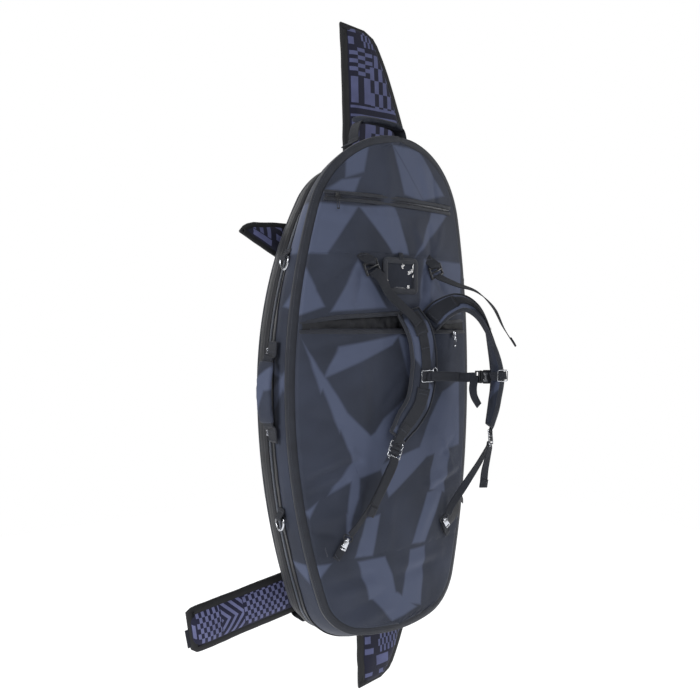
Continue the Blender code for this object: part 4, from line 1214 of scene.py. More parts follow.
# D rings -------------------------------------------------------------------------------------
# Welded 4.5 mm nickel-plated wire, 37 mm across, free to swing on a webbing tab that passes round
# the straight bar and is sewn to the side wall.

def round_section(radius, half):
    """Section of a round wire with twice half as many corners."""
    return [(radius * math.cos(math.pi * k / half), radius * math.sin(math.pi * k / half))
            for k in range(2 * half)]


for side_label, side in (("left", -1), ("right", 1)):
    for level in ("upper", "lower"):
        label = f"{side_label}_{level}"
        low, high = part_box(f"d_ring_{label}")
        joint = next(j for j in frame["joints"] if j["child"] == f"d_ring_{label}")
        bar = Vector(joint["pos_m"])
        ring = [bar + Vector((0, -0.0155, 0)), bar + Vector((0, -0.008, 0)), bar, bar + Vector((0, 0.008, 0)),
                bar + Vector((0, 0.0155, 0))]
        for step in range(1, 24):
            angle = math.pi * step / 24
            ring.append(bar + Vector((0, 0.0155 * math.cos(angle), -0.005 - 0.019 * math.sin(angle))))
        strip(f"d_ring_wire_{label}", ring, Vector((1, 0, 0)), round_section(0.0022, 6), steel,
              f"d_ring_{label}", (f"d_ring_{label}",), closed=True)
        tab_low, tab_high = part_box(f"ring_tab_{label}")
        tab = (tab_low + tab_high) / 2
        lift = (tab - Vector((0, tab.y, 0)) - Vector((0, 0, FOOT_Z + 0.52))).normalized()
        out = Vector((side, 0, 0.18 if level == "upper" else -0.12)).normalized()
        wall_way = out.cross(Vector((0, 1, 0))) * side
        wall_way = wall_way if wall_way.z > 0 else -wall_way
        band(f"ring_tab_web_{label}",
             [tab + wall_way * 0.012 - out * 0.001, tab + wall_way * 0.004 + out * 0.0006,
              bar + wall_way * 0.0046 + out * 0.0022, bar + out * 0.0046,
              bar - wall_way * 0.004 + out * 0.002,
              bar - wall_way * 0.003 - out * 0.004, bar + wall_way * 0.004 - out * 0.004], 0.024,
             [out, out, out + wall_way * 0.2, out - wall_way * 0.6, -wall_way, -out, -out], "lid",
             (f"ring_tab_{label}",), steps=4)
        bar_tacks(f"ring_tab_tacks_{label}", [(tab + wall_way * 0.007 + out * 0.0024, (0, 1, 0), out)], "lid",
                  length=0.019)
label_tab_z = 0.757
wide = half_width(label_tab_z, 0.0)
spot = Vector((wide + 0.006, bow(wide) + 0.02, FOOT_Z + label_tab_z))
band("side_label_tab", [spot + Vector((x, 0, 0)) for x in (-0.004, 0.006, 0.014)], 0.02, (0, -1, 0), "lid",
     steps=3, thickness=0.0032)


# Lifter locks and left lifter ----------------------------------------------------------------
# Moulded black ladder locks hang from short webbing anchors that come out of the yoke's top seam.
# The load lifters thread through them and run down to the shoulder pads.


def ladder(name, node, body, out, up, width, finish, height, wire, bars=3):
    """A ladder lock: two side rails joined by bars, the middle one raised so that it grips."""
    low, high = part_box(node)
    sizes = [((wire * 1.5, height, wire * 1.6), (side * (width / 2 + wire * 1.2), 0, 0)) for side in (-1, 1)]
    for k in range(bars):
        place = (k / (bars - 1) - 0.5) * (height - wire * 1.6)
        lift = 0.0012 if 0 < k < bars - 1 else 0.0
        sizes.append(((width + wire * 3.0, wire * 1.5, wire * 1.4), (0, place, lift)))
    return blocks(name, sizes, (low + high) / 2, square_to(out, up), finish, body, (node,), cut=0.35)


LEAN = Vector((-0.45, 0, 1)).normalized()
for label in ("left", "right"):
    low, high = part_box(f"lifter_lock_{label}")
    middle = (low + high) / 2
    ladder(f"lifter_ladder_{label}", f"lifter_lock_{label}", "lid", OUT, LEAN, 0.026, acetal,
           height=0.028, wire=0.003)
    root_x = middle.x - 0.02
    band(f"lifter_anchor_{label}", [(root_x, bow(root_x) - 0.003, FOOT_Z + 0.801),
                                    (root_x + 0.005, bow(root_x) - 0.0062, FOOT_Z + 0.794),
                                    middle + LEAN * 0.0145 + Vector((0, -0.0026, 0)),
                                    middle + LEAN * 0.0085 + Vector((0, -0.0022, 0)),
                                    middle + LEAN * 0.007 + Vector((0, 0.0016, 0)),
                                    middle + LEAN * 0.015 + Vector((0, 0.003, 0))], 0.025,
         [(0, -1, 0.1), (0, -1, 0.2), (0, -1, 0), (0, -0.7, -0.7), (0, 1, 0), (0, 1, 0)], "lid", steps=4)
    bar_tacks(f"lifter_anchor_tacks_{label}", [((root_x + 0.003, bow(root_x) - 0.0072, FOOT_Z + 0.7965),
                                                (1, 0, 0.2), (0, -1, 0.1))], "lid", length=0.018)
strap_low, strap_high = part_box("lifter_strap_left")
lock_low, lock_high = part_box("lifter_lock_left")
lock_mid = (lock_low + lock_high) / 2
lifter = [lock_mid - LEAN * 0.008 + Vector((0, -0.0022, 0)),
          lock_mid - LEAN * 0.012 + Vector((0.001, -0.0034, 0)),
          Vector((strap_low.x + 0.012, strap_low.y + 0.01, strap_high.z - 0.01)),
          at(-0.04, -0.1365, 0.722), at(-0.016, -0.1485, 0.694), at(0.006, -0.1565, 0.674),
          at(0.02, -0.164, 0.655)]
band("lifter_webbing_left", lifter, 0.025,
     [(0, -1, 0.1)] * 3 + [(0, -1, 0.25), (0, -1, 0.35), (0.05, -1, 0.4), (0.05, -1, 0.2)], "lid",
     replaced=("lifter_strap_left",), steps=6)


# Shoulder pads -------------------------------------------------------------------------------
# Moulded foam 12 mm thick in printed cloth, its edge bound in black tape, with 25 mm webbing run
# down its middle between a square root patch and a tapered end that holds the lower ladder lock.


def axes(path, outs):
    """Heading, across and outward directions at each point of a path."""
    frames = []
    for i in range(len(path)):
        heading = (path[min(i + 1, len(path) - 1)] - path[max(i - 1, 0)]).normalized()
        across = heading.cross(outs[i]).normalized()
        frames.append((heading, across, across.cross(heading).normalized()))
    return frames


def shoulder_pad(label, points, facing, widths, shift, body="harness"):
    """Pad and its edge tape along one centre line; gives back the line and its axes, on which the webbing,
    root patch and tapered end are laid afterwards.
    """
    count = 72
    path = resample(spline([Vector(p) for p in points], 8), count)
    outs = [v.normalized() for v in resample(spline([Vector(f) for f in facing], 8), count)]
    frames = axes(path, outs)
    width = [0.0] * count
    for i in range(count):
        t = i / (count - 1) * (len(widths) - 1)
        k = min(int(t), len(widths) - 2)
        s = t - k
        s = s * s * (3 - 2 * s)
        width[i] = widths[k] + (widths[k + 1] - widths[k]) * s
    rows, marks = [], []
    run = 0.0
    for i, point in enumerate(path):
        run += (point - path[i - 1]).length if i else 0.0
        heading, across, out = frames[i]
        end = min(1.0, min(i, count - 1 - i) / 4)
        row, line = [], []
        for k in range(24):
            angle = 2 * math.pi * k / 24
            c, s = math.cos(angle), math.sin(angle)
            a = math.copysign(abs(c) ** 0.55, c) * (width[i] / 2 - 0.002)
            crown = 0.0058 * (1 - 0.25 * (2 * a / width[i]) ** 4) * (0.45 + 0.55 * end ** 0.5)
            b = math.copysign(abs(s) ** 0.8, s) * crown
            b += 0.0007 * noise.noise(point * 40 + across * a * 30) * abs(s)
            b -= 0.0009 * math.exp(-(a / 0.0135) ** 8) * (s > 0.2)
            row.append(point + across * a + out * b)
            line.append((shift[0] + a, shift[1] - run))
        rows.append(row + [row[0]])
        marks.append(line + [line[0]])
    mesh = sealed(loft(f"shoulder_pad_foam_{label}", rows, marks))
    pad = piece(f"shoulder_pad_foam_{label}", mesh, shell_cloth, body,
                (f"shoulder_pad_{label}",))
    loop, loop_out = [], []
    for i in range(count):
        loop.append(path[i] + frames[i][1] * (width[i] / 2 - 0.0012))
        loop_out.append(frames[i][1])
    for i in reversed(range(count)):
        loop.append(path[i] - frames[i][1] * (width[i] / 2 - 0.0012))
        loop_out.append(-frames[i][1])
    tape_section = [(-0.0046, -0.0016), (-0.005, 0.0006), (-0.0034, 0.0022), (0.0, 0.0028), (0.0034, 0.0022),
                    (0.005, 0.0006), (0.0046, -0.0016)]
    strip(f"shoulder_pad_tape_{label}", loop, loop_out, tape_section, grosgrain, body,
          closed=True)
    return path, frames


left_pad = [at(0.016, -0.1345, 0.682), at(0.027, -0.156, 0.643), at(0.036, -0.16, 0.6),
            at(0.038, -0.159, 0.554),
            at(0.026, -0.156, 0.491), at(-0.008, -0.151, 0.443), at(-0.024, -0.148, 0.421)]
left_face = [(-0.1, -1, 0.3), (0, -1, 0.18), (0.03, -1, 0.0), (0.03, -1, 0), (0, -1, -0.04), (0, -1, -0.02),
             (0, -1, 0)]
left_path, left_frames = shoulder_pad(
    "left", left_pad, left_face, [0.058, 0.066, 0.068, 0.068, 0.066, 0.062, 0.046], (0.03, 0.66))
right_pad = [at(0.07, -0.1345, 0.658), at(0.098, -0.15, 0.688), at(0.138, -0.17, 0.703),
             at(0.172, -0.19, 0.676),
             at(0.196, -0.2, 0.617), at(0.214, -0.202, 0.545), at(0.212, -0.196, 0.482),
             at(0.205, -0.189, 0.432)]
right_face = [(-0.35, -1, 0.55), (-0.35, -0.8, 0.8), (0.15, -0.55, 1.0), (0.75, -0.45, 0.6),
              (0.86, -0.5, 0.25),
              (0.88, -0.5, 0.0), (0.86, -0.52, -0.12), (0.84, -0.55, -0.15)]
right_path, right_frames = shoulder_pad(
    "right", right_pad, right_face, [0.05, 0.052, 0.06, 0.066, 0.066, 0.064, 0.06, 0.044], (0.03, 0.66))


def along_pad(name, path, frames, start, end, lift, section, taper=None):
    """Webbing laid on a pad's outer face between two shares of its length."""
    first, last = int(start * (len(path) - 1)), int(end * (len(path) - 1))
    points = [path[i] + frames[i][2] * lift for i in range(first, last + 1)]
    facing = [frames[i][2] for i in range(first, last + 1)]
    strip(name, points, facing, section, webbing, "harness", taper=taper)


for label, path, frames in (("left", left_path, left_frames), ("right", right_path, right_frames)):
    along_pad(f"pad_webbing_{label}", path, frames, 0.1, 0.62, 0.0066, flat_section(0.025, 0.0019))
    along_pad(f"pad_root_patch_{label}", path, frames, 0.03, 0.2, 0.0072, flat_section(0.034, 0.0026))
    along_pad(f"pad_end_patch_{label}", path, frames, 0.6, 0.985, 0.0068, flat_section(0.036, 0.0024),
              lambda t: (1.0 - 0.22 * t, 1.0))
    spots = []
    for share in (0.045, 0.185, 0.3, 0.46, 0.615, 0.645, 0.95):
        i = int(share * (len(path) - 1))
        spots.append((path[i] + frames[i][2] * 0.0086, frames[i][1], frames[i][2]))
    bar_tacks(f"pad_tacks_{label}", spots, "harness", length=0.021)


# Right lifter --------------------------------------------------------------------------------
# The other lifter leaves its lock, arches over the top of the right pad and ends in a loose tail
# with a folded tip. Both lifters go with the harness or the lid as stiff pieces.

lock_low, lock_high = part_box("lifter_lock_right")
lock_mid = (lock_low + lock_high) / 2
right_lifter_points = [lock_mid - LEAN * 0.008 + Vector((0, -0.0022, 0)),
                       lock_mid - LEAN * 0.014 + Vector((0.001, -0.004, 0)),
                       at(0.13, -0.16, 0.742), at(0.16, -0.192, 0.726), at(0.19, -0.2125, 0.692),
                       at(0.214, -0.22, 0.648), at(0.245, -0.224, 0.61)]
path = spline([Vector(p) for p in right_lifter_points], 8)
facing = [v.normalized() for v in spline([Vector(v) for v in (
    (0, -1, 0.1), (0.05, -1, 0.25), (0.05, -0.8, 0.65), (0.2, -0.5, 0.9), (0.6, -0.4, 0.7), (0.7, -0.6, 0.4),
    (0.6, -0.7, 0.5))], 8)]
strip("lifter_webbing_right", path, facing, flat_section(0.02, 0.0019), webbing, "harness",
      ("lifter_strap_right",))
tip = path[-1]
heading = (path[-1] - path[-3]).normalized()
strip("lifter_tail_fold", [tip - heading * 0.016, tip - heading * 0.006, tip], facing[-1],
      [(a, b + 0.0012) for a, b in flat_section(0.0205, 0.004)], webbing, "harness")


# Load straps ---------------------------------------------------------------------------------
# 16 to 22 mm webbing comes up from a hook near the bag's foot, passes over the bar of a nickel-rimmed
# ladder lock at the end of the pad and hangs back down as a loose tail.


def wire_loop(name, middle, turn, width, height, radius, finish, body, replaced=(), corner=0.004):
    """A bent wire rectangle with rounded corners."""
    ring = []
    for k, (sx, sy) in enumerate(((1, 1), (1, -1), (-1, -1), (-1, 1))):
        for step in range(5):
            angle = math.radians(90 - 90 * k - 22.5 * step)
            ring.append(middle + turn @ Vector((sx * (width / 2 - corner) + corner * math.cos(angle),
                                                sy * (height / 2 - corner) + corner * math.sin(angle), 0)))
    return strip(name, ring, turn @ Vector((0, 0, 1)), round_section(radius, 5), finish, body, replaced,
                 closed=True)


for label, out, up in (("left", Vector((0, -1, 0.1)), Vector((0.45, 0, 1))),
                       ("right", Vector((0.5, -0.84, 0.1)), Vector((0.1, 0, 1)))):
    low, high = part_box(f"load_lock_{label}")
    middle = (low + high) / 2
    turn = square_to(out, up)
    wire_loop(f"load_lock_rim_{label}", middle, turn, 0.033, 0.032, 0.0013, steel, "harness",
              (f"load_lock_{label}",), corner=0.003)
    blocks(f"load_lock_bars_{label}", [((0.031, 0.0024, 0.0024), (0, 0.0052, 0)),
                                       ((0.031, 0.0024, 0.0024), (0, -0.0052, 0)),
                                       ((0.03, 0.003, 0.0014), (0, -0.0148, 0.0006)),
                                       ((0.02, 0.0022, 0.0014), (-0.003, -0.0195, 0.0002))],
           middle, turn, steel, "harness")
    for k, side in enumerate((1, -1)):
        arc = [(0.01, -0.0018), (0.0085, 0.001), (0.0045, 0.0021), (0.0014, 0.0012), (0.0008, -0.0016)]
        band(f"load_lock_turn_{label}_{k}", [middle + turn @ Vector((0, side * a, b)) for a, b in arc],
             0.0225,
             [turn @ Vector((0, side * s, c)) for s, c in ((0.9, 0.3), (0.5, 0.8), (0, 1), (-0.6, 0.8),
                                                           (-1, 0.2))],
             "harness", steps=3, thickness=0.0014)
    pad_path, pad_frames = (left_path, left_frames) if label == "left" else (right_path, right_frames)
    pad_out = pad_frames[-3][2]
    band(f"pad_end_loop_{label}", [pad_path[-9] + pad_out * 0.0072, pad_path[-4] + pad_out * 0.0072,
                                   pad_path[-1].lerp(middle, 0.3) + pad_out * 0.005,
                                   middle + turn @ Vector((0, 0.0145, 0.002)),
                                   middle + turn @ Vector((0, 0.0105, 0.001))], 0.023,
         [pad_out, pad_out, pad_out + turn @ Vector((0, 0, 1)), turn @ Vector((0, 0, 1)),
          turn @ Vector((0, 0, 1))], "harness", steps=4, thickness=0.003)

band("load_strap_web_left", [at(-0.0365, -0.1515, 0.384), at(-0.039, -0.15, 0.372), at(-0.05, -0.145, 0.348),
                             at(-0.08, -0.1375, 0.29), at(-0.112, -0.131, 0.246), at(-0.13, -0.128, 0.2275)],
     0.016, [(0.1, -1, 0.1), (0.15, -1, 0.1), (0.25, -1, 0.1), (0.35, -1, 0.1), (0.3, -1, 0.1),
             (0.2, -1, 0.2)],
     "harness", replaced=("load_strap_left",), steps=8)
band("load_strap_tail_left", [at(-0.101, -0.1545, 0.268), at(-0.094, -0.1568, 0.281),
                              at(-0.077, -0.1578, 0.31),
                              at(-0.052, -0.1592, 0.352), at(-0.043, -0.1598, 0.37),
                              at(-0.039, -0.158, 0.381)],
     0.0215, [(0.1, -1, 0.0), (0.12, -1, 0), (0.05, -1, 0.0), (-0.08, -1, 0), (-0.06, -1, 0), (0, -1, 0.3)],
     "harness", steps=8)
band("load_strap_end_left", [at(-0.1012, -0.1553, 0.2675), at(-0.096, -0.1572, 0.277),
                             at(-0.0915, -0.1583, 0.2855)],
     0.022, [(0.1, -1, 0)] * 3, "harness", steps=3, thickness=0.0034)
band("load_strap_web_right", [at(0.203, -0.187, 0.396), at(0.201, -0.185, 0.382), at(0.19, -0.1745, 0.35),
                              at(0.172, -0.1505, 0.3), at(0.148, -0.1305, 0.25), at(0.139, -0.1265, 0.2285)],
     0.018, [(0.5, -0.8, 0.2), (0.4, -0.8, 0.2), (0.2, -1, 0.5), (0.0, -1, 0.6), (-0.1, -1, 0.5),
             (-0.1, -1, 0.2)],
     "harness", replaced=("load_strap_right",), steps=8)
band("load_strap_tail_right", [at(0.178, -0.1962, 0.298), at(0.179, -0.1975, 0.312),
                               at(0.183, -0.1972, 0.336),
                               at(0.1955, -0.1962, 0.372), at(0.2015, -0.1952, 0.386),
                               at(0.203, -0.1925, 0.394)],
     0.02, [(-0.25, -1, 0), (-0.2, -1, 0), (-0.1, -1, 0), (0.2, -1, 0), (0.4, -0.8, 0.2), (0.5, -0.7, 0.3)],
     "harness", steps=8)
band("load_strap_end_right", [at(0.178, -0.1972, 0.2975), at(0.1785, -0.198, 0.306),
                              at(0.18, -0.1984, 0.3155)],
     0.0205, [(-0.25, -1, 0)] * 3, "harness", steps=3, thickness=0.0034)


# Strap hooks and their loops -----------------------------------------------------------------
# A pressed nickel hook on a black wire loop ends each load strap and catches a webbing loop sewn to
# the front. On the right that loop sits on a stitched cloth wing that runs into the edge seam.

# Satin black paint over wire, with a slight orange-peel grain.
painted_wire = mottled(new_finish("black_painted_steel_wire", 0.38), "#0d0e11", "#22242a", 900.0, 2.0,
                       0.00005,
                       0.3, printed=False)
for label, side in (("left", -1), ("right", 1)):
    low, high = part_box(f"strap_hook_{label}")
    middle = (low + high) / 2
    down = Vector((side * 0.6, 0, -1)).normalized()
    turn = square_to(OUT, -down)
    blocks(f"strap_hook_plate_{label}", [((0.0125, 0.015, 0.0022), (0.0, -0.001, 0.0003)),
                                         ((0.007, 0.006, 0.0026), (0.0, 0.0085, 0.0003)),
                                         ((0.003, 0.012, 0.002), (0.006, -0.007, -0.0006)),
                                         ((0.012, 0.0028, 0.002), (0.001, -0.0125, -0.0006))],
           middle, turn, steel, "harness", (f"strap_hook_{label}",), cut=0.45)
    wire_loop(f"strap_hook_wire_{label}", middle + turn @ Vector((0, 0.0125, 0)), turn, 0.0235, 0.0095,
              0.0012,
              painted_wire, "harness", corner=0.003)
    x = side * 0.138
    y = bow(x) - 0.05
    face = Vector((side * 0.15, -1, 0.05))
    band(f"hook_loop_web_{label}", [at(x + side * 0.016, y - 0.0045, 0.178),
                                    at(x + side * 0.01, y - 0.007, 0.187),
                                    at(x + side * 0.004, y - 0.0098, 0.197),
                                    at(x - side * 0.001, y - 0.0108, 0.206),
                                    at(x - side * 0.003, y - 0.0088, 0.21),
                                    at(x + side * 0.001, y - 0.0065, 0.203),
                                    at(x + side * 0.012, y - 0.004, 0.184)], 0.017,
         [face, face, face + Vector((0, 0, 0.2)), (0, -1, 0.5), (0, 0, 1), (0, 1, 0.2), (0, 1, 0.1)],
         "lid", (f"hook_loop_{label}",), steps=4)
    if label == "right":
        rows, marks = [], []
        for i in range(13):
            s = i / 12
            near_x, far_x = x - side * 0.006, side * (half_width(0.235, 0.012))
            px = near_x + (far_x - near_x) * s
            half = 0.011 + 0.016 * s
            row, line = [], []
            for k in range(9):
                t = k / 4 - 1
                pz = 0.198 + 0.036 * s + half * t
                lift = 0.0034 + 0.0014 * (1 - t * t) + 0.0008 * noise.noise(Vector((s * 5, t * 2, side * 3)))
                row.append(Vector((px, bow(px) - lift - slack(px, FOOT_Z + pz), FOOT_Z + pz)))
                line.append((px, pz))
            rows.append(row)
            marks.append(line)
        wing = piece(f"hook_anchor_wing_{label}", loft(f"hook_anchor_wing_{label}", rows, marks), black_cloth,
                     "lid")
        thicken(wing, 0.0014, 0.0)
    bar_tacks(f"hook_anchor_tacks_{label}", [(at(x + side * 0.013, y - 0.0068, 0.181), (0.6, 0, side * 0.8),
                                              (0, -1, 0)),
                                             (at(x + side * 0.04, y - 0.0066, 0.197), (0.3, 0, side * 1.0),
                                              (0, -1, 0))],
              "lid", length=0.018)


# Chest strap ---------------------------------------------------------------------------------
# A nickel wire adjuster slides on each pad's webbing. 20 mm webbing runs between them through a
# side-release buckle with a nickel face, and its spare end hangs down beside the buckle.


def side_release(prefix, node, middle, out, way, width, socket_body, plug_body, face=None):
    """A side-release buckle: a hollow socket with open sides and a plug with two sprung prongs."""
    turn = square_to(out, Vector(out).cross(way))
    half = width / 2
    blocks(f"{prefix}_socket_shell", [((0.0235, 2 * half + 0.006, 0.0018), (0.0, 0, 0.003)),
                                      ((0.0235, 2 * half + 0.006, 0.0018), (0.0, 0, -0.003)),
                                      ((0.0048, 2 * half + 0.01, 0.007), (-0.0106, 0, 0)),
                                      ((0.015, 0.0022, 0.006), (-0.004, half + 0.0038, 0)),
                                      ((0.015, 0.0022, 0.006), (-0.004, -half - 0.0038, 0)),
                                      ((0.003, 0.005, 0.006), (0.0106, half + 0.0015, 0)),
                                      ((0.003, 0.005, 0.006), (0.0106, -half - 0.0015, 0))],
           middle, turn, acetal, socket_body, (f"{node}_socket",), cut=0.35)
    blocks(f"{prefix}_plug_body", [((0.004, 2 * half + 0.007, 0.0058), (0.0145, 0, 0)),
                                   ((0.003, 2 * half + 0.007, 0.0036), (0.0235, 0, 0)),
                                   ((0.01, 0.003, 0.0036), (0.019, half + 0.002, 0)),
                                   ((0.01, 0.003, 0.0036), (0.019, -half - 0.002, 0)),
                                   ((0.016, 0.003, 0.0032), (0.0055, half - 0.002, 0)),
                                   ((0.016, 0.003, 0.0032), (0.0055, -half + 0.002, 0)),
                                   ((0.015, 0.004, 0.0026), (0.0055, 0, 0)),
                                   ((0.0075, 0.0034, 0.0042), (0.0, half + 0.0012, 0)),
                                   ((0.0075, 0.0034, 0.0042), (0.0, -half - 0.0012, 0))],
           middle, turn, acetal, plug_body, (f"{node}_plug",), cut=0.35)
    if face:
        blocks(f"{prefix}_face", [((0.005, 2 * half - 0.002, 0.001), (0.0005, 0, 0.0042)),
                                  ((0.011, 0.004, 0.001), (0.0005, half - 0.0025, 0.0042)),
                                  ((0.011, 0.004, 0.001), (0.0005, -half + 0.0025, 0.0042))],
               middle, turn, face, socket_body, cut=0.35)
    return turn


plug_way = Vector((-0.98, 0.2, 0.02)).normalized()
chest_out = Vector((-0.2, -0.98, 0))
chest_middle = at(0.178, -0.2, 0.541)
side_release("sternum_buckle", "sternum", chest_middle, chest_out, plug_way, 0.02, "harness",
             "sternum_plug", steel)
chest_web = band("sternum_web", [at(0.04, -0.1672, 0.5455), at(0.052, -0.169, 0.545),
                                 at(0.064, -0.1705, 0.545),
                     at(0.105, -0.1745, 0.543), at(0.135, -0.182, 0.5405), at(0.148, -0.1905, 0.541),
                     at(0.1535, -0.195, 0.541)], 0.0205,
     [(-0.1, -1, 0)] * 3 + [(-0.15, -1, 0.08), (-0.25, -0.95, 0.12), (-0.3, -0.9, 0), (-0.3, -0.9, 0)],
                 "harness",
     replaced=("sternum_strap",), steps=6)
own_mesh(chest_web)
folded_web = band("sternum_web_folded_end", [at(0.05, -0.17, 0.545), at(0.064, -0.1722, 0.545),
                                             at(0.085, -0.1744, 0.544),
                                at(0.105, -0.1765, 0.543), at(0.118, -0.1795, 0.542)], 0.021,
     [(-0.1, -1, 0)] * 3 + [(-0.15, -1, 0.05), (-0.2, -1, 0.05)], "harness", steps=5)
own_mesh(folded_web)
band("sternum_web_tail", [at(0.153, -0.1935, 0.545), at(0.1485, -0.1955, 0.53), at(0.1455, -0.1965, 0.515),
                          at(0.148, -0.1975, 0.5), at(0.156, -0.1985, 0.487), at(0.162, -0.199, 0.479)],
     0.017,
     [(-0.5, -0.9, 0.2), (-0.75, -0.7, 0.1), (-0.6, -0.8, -0.1), (-0.3, -1, -0.1), (-0.1, -1, 0), (0, -1, 0)],
     "sternum_plug", steps=5)
low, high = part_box("sternum_adjuster_left")
middle = (low + high) / 2
turn = square_to(OUT, UP)
wire_loop("sternum_adjuster_wire_left", middle + Vector((0, -0.0006, 0)), turn, 0.032, 0.0235, 0.0011, steel,
          "harness", ("sternum_adjuster_left",), corner=0.003)
hook_arc = [middle + Vector((0.0125, -0.0008, 0.01))] + [
    middle + Vector((0.0195 - 0.0052 * math.cos(math.radians(a)), -0.002,
                     0.0125 + 0.0045 * math.sin(math.radians(a))))
    for a in range(0, 200, 20)] + [middle + Vector((0.0265, -0.0016, 0.006)),
                                   middle + Vector((0.025, -0.001, -0.008))]
strip("sternum_adjuster_hook", spline(hook_arc, 2), OUT, round_section(0.001, 4), steel, "harness")
near = min(range(len(right_path) // 2, len(right_path)),
           key=lambda i: abs(right_path[i].z - (FOOT_Z + 0.545)))
heading, across, out = right_frames[near]
front_way = across if across.y < 0 else -across
link = right_path[near] + front_way * 0.0345
wire_loop("sternum_adjuster_wire_right", link, square_to(front_way, UP), 0.0215, 0.024,
          0.0012, steel, "harness", corner=0.003)
band("sternum_adjuster_keeper", [link + out * 0.009 - front_way * 0.003,
                                 link + out * 0.004 + front_way * 0.0016,
                                 link - out * 0.004 + front_way * 0.0016,
                                 link - out * 0.009 - front_way * 0.003],
     0.018, [front_way] * 4, "harness", steps=3)
band("sternum_socket_link", [link - out * 0.01, link.lerp(chest_middle, 0.4),
                             chest_middle - plug_way * 0.011], 0.019,
     [front_way, front_way + chest_out.normalized(), chest_out], "harness", steps=4)
corner_x = half_width(0.248, 0.0)
corner_low = at(corner_x - 0.004, bow(corner_x) - 0.05 + 0.005, 0.248)
tab_rows, tab_marks = [], []
for i in range(7):
    t = i / 6
    row, line = [], []
    for k in range(5):
        v = (k / 4 - 0.5) * 2
        row.append(corner_low + Vector((0.024 * t, 0.01 * t, 0.013 * v * (1 - 0.55 * t) - 0.016 * t * t)))
        line.append((0.024 * t, 0.013 * v))
    tab_rows.append(row)
    tab_marks.append(line)
corner_tab = piece("edge_corner_tab", loft("edge_corner_tab", tab_rows, tab_marks), black_cloth, "lid")
thicken(corner_tab, 0.0022, 0.0)


# Foil sleeves --------------------------------------------------------------------------------
# Three padded sleeves ride behind the bag: a long one with one curved side, a small pointed one and
# a straight one. Each is two faces of printed cloth over foam, with wide black tape round its edge.


def geometric_cloth(name, checks, chevrons, dark, light, fold):
    """Cloth printed in blocks of checks, bars and chevrons, repeated every fold metres.
    checks lists (u from, u to, v from, v to, cell width, cell height); print is in metres."""
    made = new_finish(name, 0.66, Sheen_Weight=0.08, Specular_IOR_Level=0.2)
    tree = made.node_tree
    uv = add(tree, "ShaderNodeUVMap", uv_map="print")
    split = add(tree, "ShaderNodeSeparateXYZ", [(0, uv)])
    across, along = split, split.node.outputs[1]
    folded = add(tree, "ShaderNodeMath", [(0, along)], [(1, fold)], operation="PINGPONG")
    where = add(tree, "ShaderNodeCombineXYZ", [(0, across), (1, folded)])

    def block(u0, u1, v0, v1):
        """1 inside a rectangle of the print."""
        centred = add(tree, "ShaderNodeVectorMath", [(0, where)], [(1, ((u0 + u1) / 2, (v0 + v1) / 2, 0))],
                      operation="SUBTRACT")
        size = add(tree, "ShaderNodeVectorMath", [(0, centred)], operation="ABSOLUTE")
        share = add(tree, "ShaderNodeVectorMath", [(0, size)], [(1, (2 / (u1 - u0), 2 / (v1 - v0), 0))],
                    operation="MULTIPLY")
        parts = add(tree, "ShaderNodeSeparateXYZ", [(0, share)])
        larger = add(tree, "ShaderNodeMath", [(0, parts), (1, parts.node.outputs[1])], operation="MAXIMUM")
        return add(tree, "ShaderNodeMath", [(0, larger)], [(1, 1.0)], operation="LESS_THAN")

    total = None
    for u0, u1, v0, v1, wide, tall in checks:
        inside = block(u0, u1, v0, v1)
        if wide:
            shifted = add(tree, "ShaderNodeVectorMath", [(0, where)], [(1, (u0 - 0.0002, v0 - 0.0002, 0.0))],
                          operation="SUBTRACT")
            cells = add(tree, "ShaderNodeVectorMath", [(0, shifted)], [(1, (1 / wide, 1 / tall, 0.0))],
                        operation="MULTIPLY")
            lifted = add(tree, "ShaderNodeVectorMath", [(0, cells)], [(1, (0.0, 0.0, 0.5))], operation="ADD")
            checker = add(tree, "ShaderNodeTexChecker", [("Vector", lifted)],
                          [("Scale", 1.0), ("Color1", (1, 1, 1, 1)), ("Color2", (0, 0, 0, 1))], out=1)
            inside = add(tree, "ShaderNodeMath", [(0, inside), (1, checker)], operation="MULTIPLY")
        total = inside if total is None else add(tree, "ShaderNodeMath", [(0, total), (1, inside)],
                                                 operation="MAXIMUM")
    for u0, u1, v0, v1, pitch, slope in chevrons:
        inside = block(u0, u1, v0, v1)
        parts = add(tree, "ShaderNodeSeparateXYZ", [(0, where)])
        off = add(tree, "ShaderNodeMath", [(0, parts)], [(1, (u0 + u1) / 2)], operation="SUBTRACT")
        size = add(tree, "ShaderNodeMath", [(0, off)], operation="ABSOLUTE")
        bent = add(tree, "ShaderNodeMath", [(0, size), (2, parts.node.outputs[1])], [(1, slope)],
                   operation="MULTIPLY_ADD")
        turns = add(tree, "ShaderNodeMath", [(0, bent)], [(1, 1 / pitch)], operation="MULTIPLY")
        share = add(tree, "ShaderNodeMath", [(0, turns)], operation="FRACT")
        stripe = add(tree, "ShaderNodeMath", [(0, share)], [(1, 0.46)], operation="LESS_THAN")
        both = add(tree, "ShaderNodeMath", [(0, inside), (1, stripe)], operation="MULTIPLY")
        total = both if total is None else add(tree, "ShaderNodeMath", [(0, total), (1, both)],
                                               operation="MAXIMUM")
    cloudy = add(tree, "ShaderNodeTexNoise", [("Vector", uv)], [("Scale", 26.0), ("Detail", 3.0)])
    faded = add(tree, "ShaderNodeMapRange", [("Value", cloudy)],
                [("From Min", 0.3), ("From Max", 0.7), ("To Min", 0.72), ("To Max", 1.0)])
    amount = add(tree, "ShaderNodeMath", [(0, total), (1, faded)], operation="MULTIPLY")
    finish_surface(tree, join_tones(tree, amount, linear(dark), linear(light)),
                   weave_height(tree, uv, THREAD_PITCH), 0.0003, 0.35)
    return made


